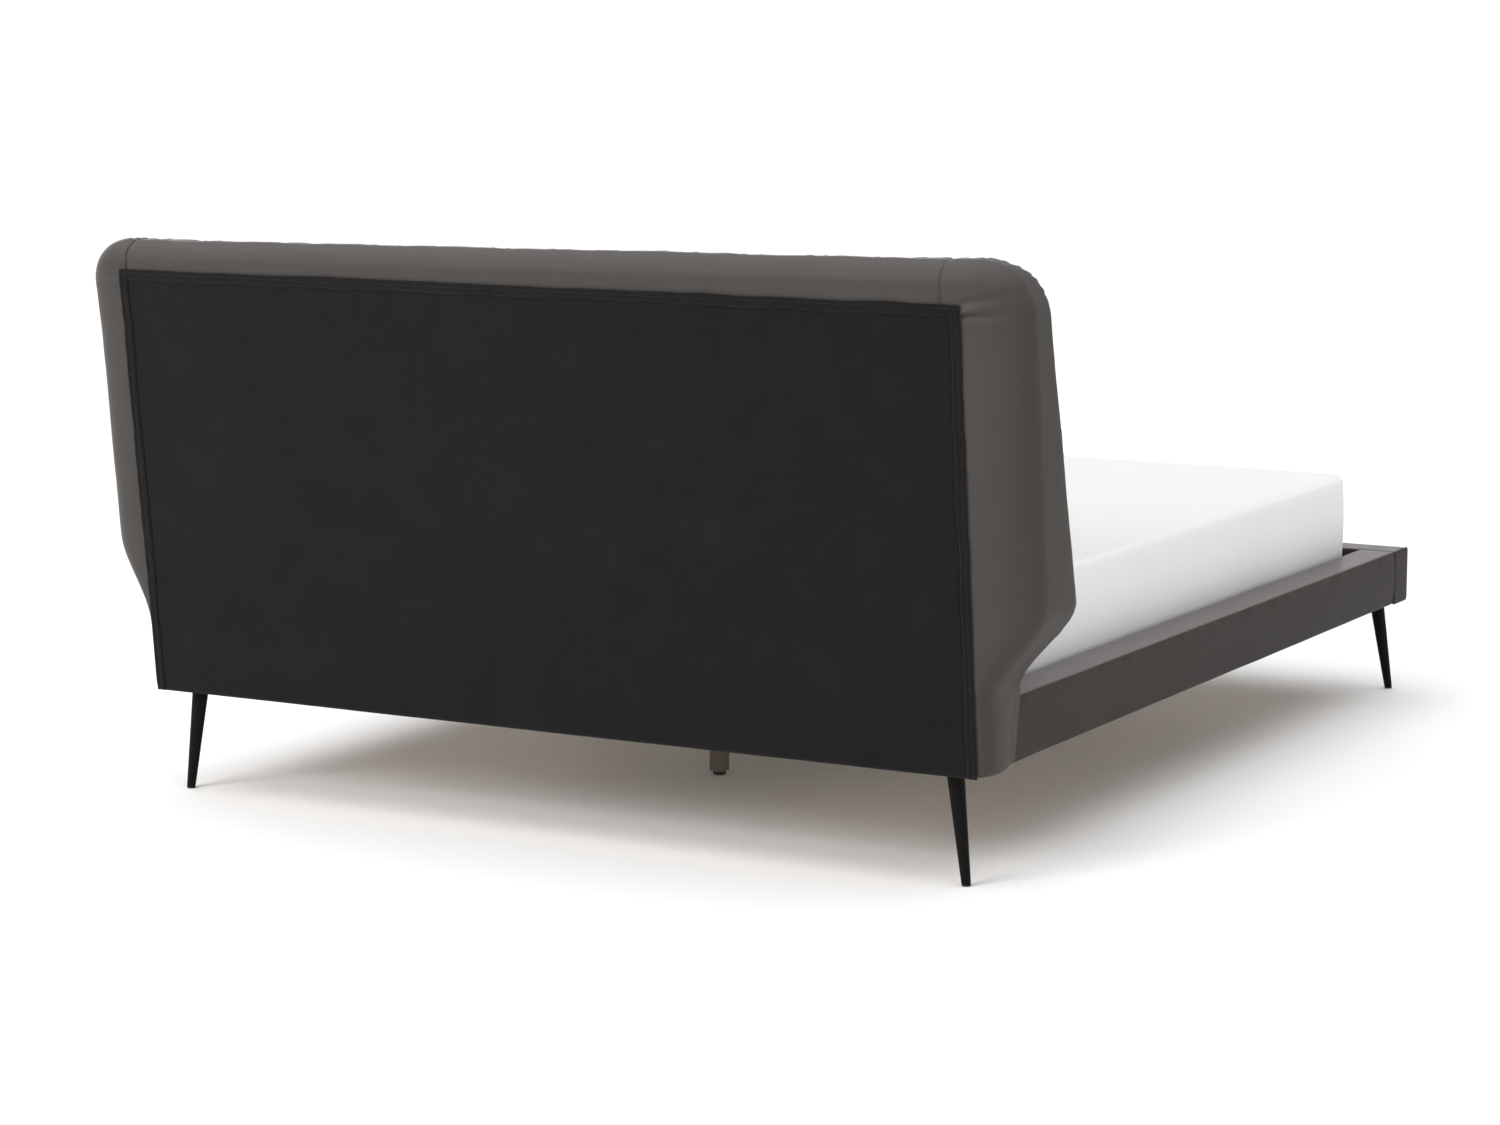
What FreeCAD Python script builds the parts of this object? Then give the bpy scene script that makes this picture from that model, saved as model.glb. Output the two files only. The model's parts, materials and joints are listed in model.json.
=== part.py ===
import FreeCAD, Part
import Sketcher
import os
from math import cos, pi, radians, sin, sqrt, tan

# Upholstered platform bed: padded headboard with swept wings, low padded rails, splayed legs,
# sprung slats on a centre beam, and a mattress. Millimetres. +Z is up, +Y points to the
# headboard, and the origin is on the floor under the middle of the bed.

SIZES = {
    # mattress and the bay it lies in
    "mattress_width": 1590, "mattress_length": 1988, "mattress_height": 230,
    "mattress_corner": 75, "mattress_edge": 14, "mattress_drop": 56,
    "side_room": 10, "head_room": 5, "foot_room": 19,
    # padded rails
    "rail_depth": 86, "rail_height": 121, "rail_pad": 13, "rail_lining": 3, "rail_edge": 12,
    # corner legs, their plates and screws
    "leg_height": 203, "leg_top_radius": 16, "leg_toe_radius": 8.5, "leg_splay": 25,
    "foot_leg_rake": 22, "head_leg_rake": 5, "foot_leg_inboard": 11, "head_leg_inboard": 21,
    "foot_leg_shift": 5, "head_leg_inset": 47, "plate_size": 60, "plate_sheet": 3, "glide_height": 3,
    "screw_radius": 2, "screw_head": 4, "screw_head_height": 2, "screw_length": 22,
    "screw_across": 28, "screw_along": 32,
    # headboard form
    "head_height": 1100, "head_depth": 162, "head_lean": 6.1, "wing_reach": 109,
    "face_lean": 10.6, "head_toe": 22, "head_flare": 7,
    "wing_rise": 6, "wing_swell": 175, "wing_corner": 95, "wing_back_round": 72,
    "wing_front_round": 25, "wing_sweep": 10.2, "wing_sweep_low": 17.4,
    "base_bulge": 13, "base_back_round": 33, "crest_round": 45, "toe_round": 12,
    "wrap_skin": 22, "face_skin": 20,
    "wing_face": 226, "channel_pairs": 6, "channel_depth": 6, "channel_radius": 14,
    "seam_inset": 46, "round_least": 3,
    # headboard frame
    "frame_depth": 70, "frame_drop": 78, "frame_rail": 60, "base_rail": 90,
    "strut_width": 60, "board_sheet": 9, "rib_sheet": 18, "rib_margin": 55,
    # dust cover
    "dust_inset": 110, "dust_drop": 66, "dust_sheet": 1.5, "hem_width": 19,
    # slats, their holders and ledges
    "slat_width": 53, "slat_sheet": 8, "slat_bow": 8, "slat_rows": 13, "slat_margin": 88,
    "holder_length": 36, "holder_wall": 2.5, "holder_grip": 28, "holder_web": 8, "holder_slack": 2,
    "ledge_width": 45, "ledge_height": 30, "ledge_margin": 67, "ledge_clear": 4,
    # centre beam, its hangers and its legs
    "beam_width": 30, "beam_height": 38, "beam_wall": 2,
    "hanger_width": 60, "hanger_sheet": 3, "hanger_reach": 40, "hanger_side": 27,
    "prop_width": 29, "prop_wall": 2, "prop_plate": 70, "prop_plug": 16,
    "foot_radius": 13, "foot_height": 8, "foot_stem": 4, "foot_stem_length": 26,
    # corner brackets and bolts
    "bracket_reach": 62, "bracket_height": 40, "bracket_sheet": 3, "bracket_rise": 2,
    "bolt_radius": 4, "bolt_head": 7, "bolt_head_height": 4, "bolt_length": 32,
    "bolt_first": 22, "bolt_pitch": 24,
    # clearances
    "soft_gap": 0.3, "hole_gap": 0.2,
}

# How many flat sides stand in for a circle, and straight steps for a curve.
BOLT_SIDES = 6
SHANK_SIDES = 8
CHANNEL_SIDES = 12
LEG_SIDES = 16
CORNER_STEPS = 3
SWELL_STEPS = 6
SLAT_STEPS = 4
BRACKET_BOLTS = 2
WING_RIBS = 3

PLACES = {
    "lean": "tan(Sizes.head_lean)",
    "inner_width": "Sizes.mattress_width + 2 * Sizes.side_room",
    "inner_length": "Sizes.mattress_length + Sizes.head_room + Sizes.foot_room",
    "rail_top": "Sizes.leg_height + Sizes.rail_height",
    "back_reach": "(Sizes.head_height - Sizes.crest_round - Sizes.leg_height) * lean",
    "foot_outer": "-(Sizes.rail_depth + inner_length + Sizes.head_depth + back_reach) / 2",
    "foot_face": "foot_outer + Sizes.rail_depth",
    "head_face": "foot_face + inner_length",
    "head_base": "head_face + Sizes.head_depth",
    "bay_side": "inner_width / 2",
    "rail_side": "bay_side + Sizes.rail_depth",
    "head_half": "rail_side + Sizes.wing_reach",
    "core_in": "bay_side + Sizes.rail_pad",
    "core_out": "rail_side - Sizes.rail_pad",
    "core_low": "Sizes.leg_height + Sizes.rail_lining",
    "core_top": "rail_top - Sizes.rail_pad",
    "foot_core_face": "foot_face - Sizes.rail_pad",
    "mattress_low": "rail_top - Sizes.mattress_drop",
    "slat_seat": "mattress_low - Sizes.soft_gap - Sizes.slat_sheet - Sizes.slat_bow",
    "ledge_top": "slat_seat - Sizes.soft_gap - Sizes.holder_wall",
    "beam_low": "ledge_top - Sizes.beam_height",
    "beam_start": "foot_core_face + Sizes.hanger_sheet + Sizes.soft_gap",
    "frame_run": "Sizes.frame_depth / cos(Sizes.head_lean)",
    "frame_front": "head_base - frame_run",
    "frame_top": "Sizes.head_height - Sizes.frame_drop",
    "frame_middle": "(Sizes.leg_height + Sizes.base_rail + frame_top - Sizes.frame_rail) / 2",
    "rib_low": "rail_top + Sizes.wing_rise + Sizes.wing_swell + Sizes.rib_margin",
    "rib_high": "Sizes.head_height - Sizes.wing_corner - Sizes.rib_sheet",
    "dust_half": "head_half - Sizes.dust_inset",
    "dust_top": "Sizes.head_height - Sizes.dust_drop",
    "beam_end": "frame_front - Sizes.hanger_sheet - Sizes.soft_gap",
    "clear_top": "ledge_top + Sizes.ledge_clear",
    "bracket_low": "core_low + Sizes.bracket_rise",
    "bolt_z": "bracket_low + Sizes.bracket_height / 2",
    "foot_leg_x": "(core_in + core_out) / 2 - Sizes.foot_leg_inboard",
    "head_leg_x": "(core_in + core_out) / 2 - Sizes.head_leg_inboard",
    "foot_leg_y": "(foot_outer + foot_face) / 2 + Sizes.foot_leg_shift",
    "head_leg_y": "head_base - Sizes.head_leg_inset",
    "foot_toe_y": "foot_leg_y - Sizes.foot_leg_rake",
    "head_toe_y": "head_leg_y + Sizes.head_leg_rake",
    "leg_top": "Sizes.leg_height - Sizes.plate_sheet",
    "channel_edge": "head_half - Sizes.wing_face",
    "channel_pitch": "channel_edge / Sizes.channel_pairs",
    "holder_height": "Sizes.slat_sheet + Sizes.holder_slack + 2 * Sizes.holder_wall",
    "holder_half": "Sizes.holder_length + Sizes.holder_web / 2",
    "slat_in": "holder_half - Sizes.holder_grip",
    "slat_out": "bay_side - Sizes.soft_gap - Sizes.holder_length + Sizes.holder_grip",
}

doc = FreeCAD.newDocument("platform_bed")
nodes = []


def make_sheet(name, rows, lead):
    """A two-column sheet, names in A and values in B, each value aliased by its name."""
    sheet = doc.addObject("Spreadsheet::Sheet", name)
    for row, (alias, content) in enumerate(rows.items(), start=1):
        sheet.set(f"A{row}", alias)
        sheet.set(f"B{row}", f"{lead}{content}")
        sheet.setAlias(f"B{row}", alias)
    doc.recompute()
    return sheet


sizes = make_sheet("Sizes", SIZES, "")
places = make_sheet("Places", PLACES, "=")


# ---- helpers: each returns a document object whose sizes are bound to the sheets ----

def link(text):
    """Expression text with every sheet name written out in full."""
    words, word = [], ""
    for char in text + " ":
        if char.isalnum() or char == "_":
            word += char
            continue
        owner = "Sizes." if word in SIZES else "Places." if word in PLACES else ""
        words.append(owner + word + char)
        word = ""
    return "".join(words).strip()


def bind(target, rows):
    for path, text in rows.items():
        target.setExpression(path, link(text))


def node(thing, label):
    """Marks a document object as one finished piece."""
    thing.Label = label
    nodes.append(thing)
    return thing


def block(name, low, run):
    """A box from its low corner and its run along X, Y and Z."""
    box = doc.addObject("Part::Box", name)
    bind(box, {"Length": run[0], "Width": run[1], "Height": run[2]})
    bind(box, {f"Placement.Base.{axis}": text for axis, text in zip("xyz", low)})
    return box


def rod(name, centre, radius, length, sides):
    """An upright rod with flat sides, from its start point."""
    prism_rod = doc.addObject("Part::Prism", name)
    prism_rod.Polygon = sides
    bind(prism_rod, {"Circumradius": radius, "Height": length})
    bind(prism_rod, {f"Placement.Base.{axis}": text for axis, text in zip("xyz", centre)})
    return prism_rod


def lean_back(box):
    """Tilts a box by the headboard's lean, round its own low corner."""
    box.Placement.Rotation = FreeCAD.Rotation(FreeCAD.Vector(1, 0, 0), -sizes.head_lean)
    bind(box, {"Placement.Rotation.Angle": "-head_lean"})
    return box


def fuse(name, parts):
    whole = doc.addObject("Part::MultiFuse", name)
    whole.Shapes = parts
    return whole


def cut(name, base, tools):
    """Takes each tool in turn out of a base."""
    rest = base
    for left in reversed(range(len(tools))):
        source, rest = rest, doc.addObject("Part::Cut", f"{name}_uncut{left}" if left else name)
        rest.Base = source
        rest.Tool = tools[len(tools) - 1 - left]
    return rest


def mirror(source, name):
    other = doc.addObject("Part::Mirroring", name)
    other.Source = source
    other.Normal = (1, 0, 0)
    return other


def pair(left, name):
    """Registers a left piece and its mirror image on the other side of the bed."""
    node(left, f"{name}_left")
    return node(mirror(left, f"{name}_right"), f"{name}_right")


def solid_of(name, shape):
    """A piece whose shape is set directly: lofted upholstery and repeated copies."""
    feature = doc.addObject("Part::Feature", name)
    feature.Shape = shape
    return feature


def profile(body, role, corners, start):
    """A closed outline of straight edges, every corner bound to the sheets."""
    plane = next(part for part in body.Origin.OriginFeatures if part.Role == role)
    sketch = body.newObject("Sketcher::SketchObject", body.Name + "_outline")
    sketch.AttachmentSupport = [(plane, "")]
    sketch.MapMode = "FlatFace"
    bind(sketch, {"AttachmentOffset.Base.z": start})
    count = len(corners)
    ring = [FreeCAD.Vector(sizes.rail_depth, 0, 0)]
    turn = FreeCAD.Rotation(FreeCAD.Vector(0, 0, 1), 360 / count)
    for _ in corners[1:]:
        ring.append(turn.multVec(ring[-1]))
    for index in range(count):
        sketch.addGeometry(Part.LineSegment(ring[index], ring[(index + 1) % count]), False)
    for index in range(count):
        sketch.addConstraint(Sketcher.Constraint("Coincident", index, 2, (index + 1) % count, 1))
    for index, corner in enumerate(corners):
        for kind, text, value in zip(("DistanceX", "DistanceY"), corner, ring[index]):
            number = sketch.addConstraint(Sketcher.Constraint(kind, -1, 1, index, 1, value))
            sketch.setExpression(f"Constraints[{number}]", link(text))
    return sketch


def prism(name, role, corners, start, run, against=False):
    """A body padded from one outline; against pads towards the plane's other side."""
    body = doc.addObject("PartDesign::Body", name)
    sketch = profile(body, role, corners, start)
    pad = body.newObject("PartDesign::Pad", name + "_pad")
    pad.Profile = sketch
    pad.Reversed = against
    bind(pad, {"Length": run})
    body.Tip = pad
    return body


def dress_edges(body, kind, size, chosen):
    """Fillets or chamfers the edges of a body's tip that a test on the edge picks."""
    doc.recompute()
    base = body.Tip
    edges = [f"Edge{i}" for i, edge in enumerate(base.Shape.Edges, start=1) if chosen(edge)]
    dressed = body.newObject(f"PartDesign::{kind}", f"{body.Name}_{kind.lower()}")
    dressed.Base = (base, edges)
    bind(dressed, {"Radius" if kind == "Fillet" else "Size": size})
    body.Tip = dressed
    return body


def runs_along(edge, axis):
    """Tells whether an edge is straight and parallel to one axis."""
    first, last = edge.Vertexes[0].Point, edge.Vertexes[-1].Point
    return edge.Curve.TypeId == "Part::GeomLine" and abs(abs((last - first).normalize()[axis]) - 1) < 1e-6


def stud(start, way, radius, length, sides):
    """A rod with flat sides, from a start point along a unit direction."""
    turn = FreeCAD.Rotation(FreeCAD.Vector(0, 0, 1), way)
    spokes = [2 * pi * side / sides for side in range(sides + 1)]
    ring = [start + turn.multVec(FreeCAD.Vector(radius * cos(spoke), radius * sin(spoke), 0))
            for spoke in spokes]
    ring[-1] = ring[0]
    return Part.Face(Part.makePolygon(ring)).extrude(way * length)


def copies(shape, moves):
    return [shape.translated(FreeCAD.Vector(*move)) for move in moves]


# ---- mattress ----

def make_mattress():
    """A block with corners rounded in plan and chamfered borders."""
    low_y = "foot_face + foot_room"
    reach, cut_in = "mattress_corner", "mattress_corner * (1 - sqrt(0.5))"
    quadrant = [(reach, "0"), (cut_in, cut_in), ("0", reach)]
    outline = []
    for left, near in ((True, True), (True, False), (False, False), (False, True)):
        corner = quadrant if left == near else quadrant[::-1]
        for in_x, in_y in corner:
            x = f"{in_x} - mattress_width / 2" if left else f"mattress_width / 2 - {in_x}"
            y = f"{low_y} + {in_y}" if near else f"{low_y} + mattress_length - {in_y}"
            outline.append((x, y))
    body = prism("mattress", "XY_Plane", outline, "mattress_low", "mattress_height")
    dress_edges(body, "Chamfer", "mattress_edge", lambda edge: not runs_along(edge, 2))
    node(body, "mattress")


# ---- corner screws and bolts: solids and the holes they need ----

def screw_places():
    """Centres of the plate screws, for the four legs."""
    for side in (1, -1):
        for x, y in ((places.foot_leg_x, places.foot_leg_y), (places.head_leg_x, places.head_leg_y)):
            for across in (1, -1):
                for along in (1, -1):
                    yield (side * x + across * sizes.screw_across / 2,
                           y + along * sizes.screw_along / 2)


def upright(x, y, low, radius, length, sides):
    return stud(FreeCAD.Vector(x, y, low), FreeCAD.Vector(0, 0, 1), radius, length, sides)


def screw_holes(gap):
    """One compound of rods that clears every plate screw's shank."""
    radius, tall = sizes.screw_radius + gap, sizes.screw_length + gap
    return Part.makeCompound([
        upright(x, y, places.leg_top, radius, tall, SHANK_SIDES) for x, y in screw_places()])


def make_leg_screws():
    low = places.leg_top - sizes.screw_head_height
    tall = sizes.screw_head_height + sizes.screw_length
    screws = []
    for x, y in screw_places():
        head = upright(x, y, low, sizes.screw_head, sizes.screw_head_height, SHANK_SIDES)
        shank = upright(x, y, low, sizes.screw_radius, tall, SHANK_SIDES)
        screws.append(head.fuse(shank).removeSplitter())
    node(solid_of("leg_screws", Part.makeCompound(screws)), "leg_screws")


def bolt_places():
    """Start point on the wood and unit direction of each bracket bolt."""
    lean = radians(sizes.head_lean)
    rise = places.bolt_z
    foot_y = places.foot_core_face
    rail_y = places.frame_front + (rise - sizes.leg_height) * places.lean
    square = FreeCAD.Vector(0, cos(lean), -sin(lean))
    for side in (1, -1):
        outward = FreeCAD.Vector(side, 0, 0)
        for step in range(BRACKET_BOLTS):
            reach = sizes.bolt_first + step * sizes.bolt_pitch
            yield FreeCAD.Vector(side * places.core_in, foot_y + reach, rise), outward
            yield FreeCAD.Vector(side * places.core_in, rail_y - reach, rise), outward
            inner = side * (places.core_in - reach)
            yield FreeCAD.Vector(inner, foot_y, rise), FreeCAD.Vector(0, -1, 0)
            yield FreeCAD.Vector(inner, rail_y, rise), square


def bolt_holes(gap):
    """One compound of rods that clears every bracket bolt's shank."""
    radius, lead = sizes.bolt_radius + gap, 2 * sizes.bracket_sheet
    deep = lead + sizes.bolt_length - sizes.bracket_sheet + gap
    return Part.makeCompound([
        stud(start - way * lead, way, radius, deep, SHANK_SIDES) for start, way in bolt_places()])


def make_bracket_bolts():
    bolts = []
    for start, way in bolt_places():
        seat = start - way * sizes.bracket_sheet
        head = stud(seat, way * -1, sizes.bolt_head, sizes.bolt_head_height, BOLT_SIDES)
        shank = stud(seat, way, sizes.bolt_radius, sizes.bolt_length, SHANK_SIDES)
        bolts.append(head.fuse(shank).removeSplitter())
    node(solid_of("bracket_bolts", Part.makeCompound(bolts)), "bracket_bolts")


# ---- headboard timber frame: every member leans with the back ----

def leaning(height):
    """Back and front corners of the timber frame at a height, as sketch coordinates."""
    shift = f"({height} - leg_height) * lean"
    return (f"head_base + {shift}", height), (f"frame_front + {shift}", height)


def frame_member(name, start, run, low, high):
    back_low, front_low = leaning(low)
    back_high, front_high = leaning(high)
    return prism(name, "YZ_Plane", [back_low, back_high, front_high, front_low], start, run)


def make_head_frame(holes):
    stile = frame_member("stile", "core_in", "core_out - core_in", "leg_height", "frame_top")
    pair(cut("head_stile", stile, [holes["screws"]]), "head_stile")
    span = ("-core_in", "2 * core_in")
    base_top = "(leg_height + base_rail)"
    middle_low, middle_top = "(frame_middle - frame_rail / 2)", "(frame_middle + frame_rail / 2)"
    top_low = "(frame_top - frame_rail)"
    base = frame_member("base_rail", *span, "leg_height", base_top)
    base = cut("head_bottom_rail", base, [holes["bolts"], holes["screws"]])
    node(base, "head_bottom_rail")
    node(frame_member("head_middle_rail", *span, middle_low, middle_top), "head_middle_rail")
    node(frame_member("head_top_rail", *span, top_low, "frame_top"), "head_top_rail")
    strut = ("-strut_width / 2", "strut_width")
    node(frame_member("head_strut_lower", *strut, base_top, middle_low), "head_strut_lower")
    node(frame_member("head_strut_upper", *strut, middle_top, top_low), "head_strut_upper")


# ---- headboard upholstery: plan sections stacked up the height ----

def back_at(height):
    return places.head_base + (height - sizes.leg_height) * places.lean


def face_at(height):
    """Front of the headboard between the wings: it leans back, and toes in below the rails' top."""
    rise = height - places.rail_top
    if rise < 0:
        return places.head_face - rise / sizes.rail_height * sizes.head_toe
    return places.head_face + rise * tan(radians(sizes.face_lean))


def round_off(depth, radius):
    """How far a rounded edge draws in, at a depth past where its rounding starts."""
    depth = max(0.0, min(depth, radius))
    return radius - sqrt(radius ** 2 - depth ** 2)


def wing_share(height):
    """How far the wings have swelled out at a height: an S-curve from 0 to 1."""
    share = (height - places.rail_top - sizes.wing_rise) / sizes.wing_swell
    share = max(0.0, min(share, 1.0))
    return share * share * (3 - 2 * share)


def half_width_at(height, inset):
    """Half the headboard's width: narrow at the rails, then out to the wings."""
    narrow = places.rail_side + sizes.head_flare
    swell = (places.head_half - narrow) * wing_share(height)
    corner = sizes.wing_corner
    drawn = round_off(height - (sizes.head_height - corner), corner - inset)
    return narrow + swell - inset - drawn - toe_at(height, inset)


def sweep_at(height):
    """Slope of the wings' front: steepest just above the rails, easing up to the corners."""
    high, low = tan(radians(sizes.wing_sweep)), tan(radians(sizes.wing_sweep_low))
    full = places.rail_top + sizes.wing_rise + sizes.wing_swell
    ease = (height - full) / (sizes.head_height - sizes.wing_corner - full)
    share = wing_share(height) * (1 - max(0.0, min(ease, 1.0)))
    return high + (low - high) * share


def toe_at(height, inset):
    """How far the rounded lower border draws in; only the outer form has one."""
    return round_off(sizes.leg_height + sizes.toe_round - height, max(sizes.toe_round - inset, 0))


def quarter(first, corner, last):
    """Points of a quarter round, tangent at both ends to the lines to the shared corner."""
    turns = [pi / 2 * step / CORNER_STEPS for step in range(CORNER_STEPS + 1)]
    return [corner + (first - corner) * (1 - sin(turn)) + (last - corner) * (1 - cos(turn))
            for turn in turns]


def head_section(height, inset):
    """Closed plan outline of the headboard at one height, drawn in by an inset."""
    crest, least = sizes.crest_round, sizes.round_least
    drawn = round_off(height - (sizes.head_height - crest), crest - inset)
    drawn += toe_at(height, inset) + inset
    half = half_width_at(height, inset)
    back = back_at(height) - drawn
    face = face_at(height) + drawn
    flat = min(places.dust_half, half - least)
    edge = places.channel_edge
    tip = face - (half - sizes.wing_front_round - edge) * sweep_at(height)
    nose = min(max(sizes.wing_front_round - inset, least), (back - tip) * 0.4)
    share = wing_share(height)
    rear = half + sizes.base_bulge * (1 - share)
    heel = sizes.base_back_round + (sizes.wing_back_round - sizes.base_back_round) * share
    heel = min(max(heel - inset, least), (back - tip) / 2)

    def point(x, y):
        return FreeCAD.Vector(x, y, height)

    right = quarter(point(flat, back), point(rear, back), point(rear, back - heel))
    right += quarter(point(half, tip + nose), point(half, tip), point(half - nose, tip))
    right.append(point(edge, face))
    left = [FreeCAD.Vector(-corner.x, corner.y, corner.z) for corner in reversed(right)]
    return Part.makePolygon(right + left + right[:1])


def head_levels(top):
    """Heights of the sections: close together where the outline curves."""
    base, corner = sizes.leg_height, sizes.wing_corner
    swell_low = places.rail_top + sizes.wing_rise
    shares = [step / SWELL_STEPS for step in range(SWELL_STEPS + 1)]
    levels = [base, base + sizes.toe_round * 0.3, base + sizes.toe_round, places.rail_top]
    levels += [swell_low + sizes.wing_swell * share for share in shares]
    levels += [top - corner * (1 - share) ** 2 for share in shares]
    return levels


def head_form(inset):
    sections = [head_section(height, inset) for height in head_levels(sizes.head_height - inset)]
    return Part.makeLoft(sections, True, True)


def behind_face(depth):
    """Everything further back than a skin of the given depth on the headboard's front."""
    far = 2 * places.head_half
    edge = places.channel_edge
    back = places.head_base + far
    swell = places.rail_top + sizes.wing_rise
    corner = sizes.head_height - sizes.wing_corner
    sections = []
    for height in (0, places.rail_top, swell, swell + sizes.wing_swell / 2,
                   swell + sizes.wing_swell, corner, 2 * sizes.head_height):
        face = face_at(height) + depth
        tip = face - (far - edge) * sweep_at(height)
        outline = [(-far, back), (far, back), (far, tip), (edge, face), (-edge, face), (-far, tip)]
        points = [FreeCAD.Vector(x, y, height) for x, y in outline]
        sections.append(Part.makePolygon(points + points[:1]))
    return Part.makeLoft(sections, True, True)


def lean_slab(half, front, back, low, high):
    """A box in the headboard's lean: its depths count forward from the back, heights along it."""
    turn = FreeCAD.Rotation(FreeCAD.Vector(1, 0, 0), -sizes.head_lean)
    slab = Part.makeBox(2 * half, front - back, (high - low) / cos(radians(sizes.head_lean)))
    slab.Placement.Base = FreeCAD.Vector(-half, -front, (low - sizes.leg_height))
    base = FreeCAD.Vector(0, places.head_base, sizes.leg_height)
    return slab.transformed(FreeCAD.Placement(base, turn).toMatrix())


def rail_windows(gap):
    """Room in the headboard's padding for the two side rail cores and the gear between them."""
    front, deep = places.head_face - sizes.rail_depth, sizes.rail_depth + sizes.head_depth
    wide = places.core_out - places.core_in + 2 * gap
    tall = places.core_top + gap
    windows = [Part.makeBox(wide, deep, tall, FreeCAD.Vector(x, front, 0))
               for x in (places.core_in - gap, -places.core_out - gap)]
    centre = Part.makeBox(2 * places.core_in, deep, places.clear_top,
                          FreeCAD.Vector(-places.core_in, front, 0))
    return windows + [centre]


def channel_tools():
    """Rods that press the stitched channels into the headboard's front."""
    slope = radians(sizes.face_lean)
    out = sizes.channel_radius - sizes.channel_depth
    low = places.rail_top
    length = (sizes.head_height - low) / cos(slope)
    way = FreeCAD.Vector(0, sin(slope), cos(slope))
    front = face_at(low) - out / cos(slope)
    return [stud(FreeCAD.Vector(step * places.channel_pitch, front, low), way,
                 sizes.channel_radius, length, CHANNEL_SIDES)
            for step in range(-int(sizes.channel_pairs), int(sizes.channel_pairs) + 1)]


def make_upholstery():
    gap = sizes.soft_gap
    form = head_form(0)
    hollow = head_form(sizes.wrap_skin)
    filling = head_form(sizes.wrap_skin + gap)
    behind = behind_face(sizes.face_skin)
    far, tall = 2 * places.head_half, 2 * sizes.head_height
    depth = sizes.frame_depth
    board_front = depth + sizes.board_sheet
    outside = places.core_out + gap
    windows = rail_windows(gap)

    pad = form.cut(behind).cut(windows).cut(channel_tools())
    node(solid_of("head_front_pad", pad), "head_front_pad")

    frame_room = lean_slab(outside, far, -far, 0, places.frame_top + gap)
    shell = form.common(behind).cut(hollow).cut(frame_room)
    seam = places.dust_half - sizes.seam_inset
    middle = Part.makeBox(2 * seam, 2 * far, tall, FreeCAD.Vector(-seam, -far / 2, 0))
    side = Part.makeBox(far, 2 * far, tall, FreeCAD.Vector(seam + gap, -far / 2, 0))
    node(solid_of("head_top_band", shell.common(middle)), "head_top_band")
    pair(solid_of("head_side_wrap", shell.common(side)), "head_side_wrap")

    board = filling.common(lean_slab(far, board_front, depth, 0, tall)).cut(windows)
    node(solid_of("head_face_board", board), "head_face_board")

    foam_back = lean_slab(far, far, board_front + gap, 0, tall)
    foam = filling.common(foam_back).common(behind_face(sizes.face_skin + gap)).cut(windows)
    node(solid_of("head_foam", foam), "head_foam")

    zone = filling.common(lean_slab(far, depth, 0, 0, tall))
    climb = (places.rib_high - places.rib_low) / (WING_RIBS - 1)
    lifts = [places.rib_low + climb * number for number in range(WING_RIBS)]
    ribs = [zone.common(Part.makeBox(far, 2 * far, sizes.rib_sheet,
                                     FreeCAD.Vector(outside, -far / 2, lift))) for lift in lifts]
    pair(solid_of("wing_ribs", Part.makeCompound(ribs)), "wing_ribs")
    return solid_of("headboard_form", form)


def make_dust_cover():
    """Thin sheet over the open back, with a doubled hem along its top and sides."""
    run, width = "(dust_top - leg_height) / cos(head_lean)", "2 * dust_half"
    corner = ("-dust_half", "head_base", "leg_height")
    sheet = block("sheet", corner, (width, "dust_sheet", run))
    hem = block("hem", corner, (width, "2 * dust_sheet", run))
    inside = block("hem_inside", ("hem_width - dust_half", "head_base", "leg_height"),
                   (f"{width} - 2 * hem_width", "3 * dust_sheet", f"{run} - hem_width"))
    for part in (sheet, hem, inside):
        lean_back(part)
    border = cut("hem_border", hem, [inside])
    node(fuse("dust_cover", [sheet, border]), "dust_cover")


# ---- padded rails ----

def make_side_rails(holes, form):
    top_shift = "(core_top - leg_height) * lean"
    low_shift = "(core_low - leg_height) * lean"
    corners = [("foot_core_face", "core_low"), (f"frame_front + {low_shift}", "core_low"),
               (f"frame_front + {top_shift}", "core_top"), ("foot_core_face", "core_top")]
    core = prism("rail_core", "YZ_Plane", corners, "core_in", "core_out - core_in")
    pair(cut("side_rail_core", core, [holes["bolts"]]), "side_rail_core")

    corners = [("foot_face", "leg_height"), ("frame_front", "leg_height"),
               ("frame_front", "rail_top"), ("foot_face", "rail_top")]
    cover = prism("rail_cover", "YZ_Plane", corners, "bay_side", "rail_depth")
    dress_edges(cover, "Fillet", "rail_edge", lambda edge: runs_along(edge, 1))
    room = ("core_out - core_in", "inner_length + head_depth", "core_top - core_low")
    cavity = block("rail_room", ("core_in", "foot_face - rail_pad", "core_low"), room)
    window = block("rail_open", ("bay_side - rail_pad", "foot_face - rail_pad", "core_low"),
                   ("2 * rail_pad", room[1], "clear_top - core_low"))
    pair(cut("side_rail_cover", cover, [cavity, window, form]), "side_rail_cover")


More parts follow.
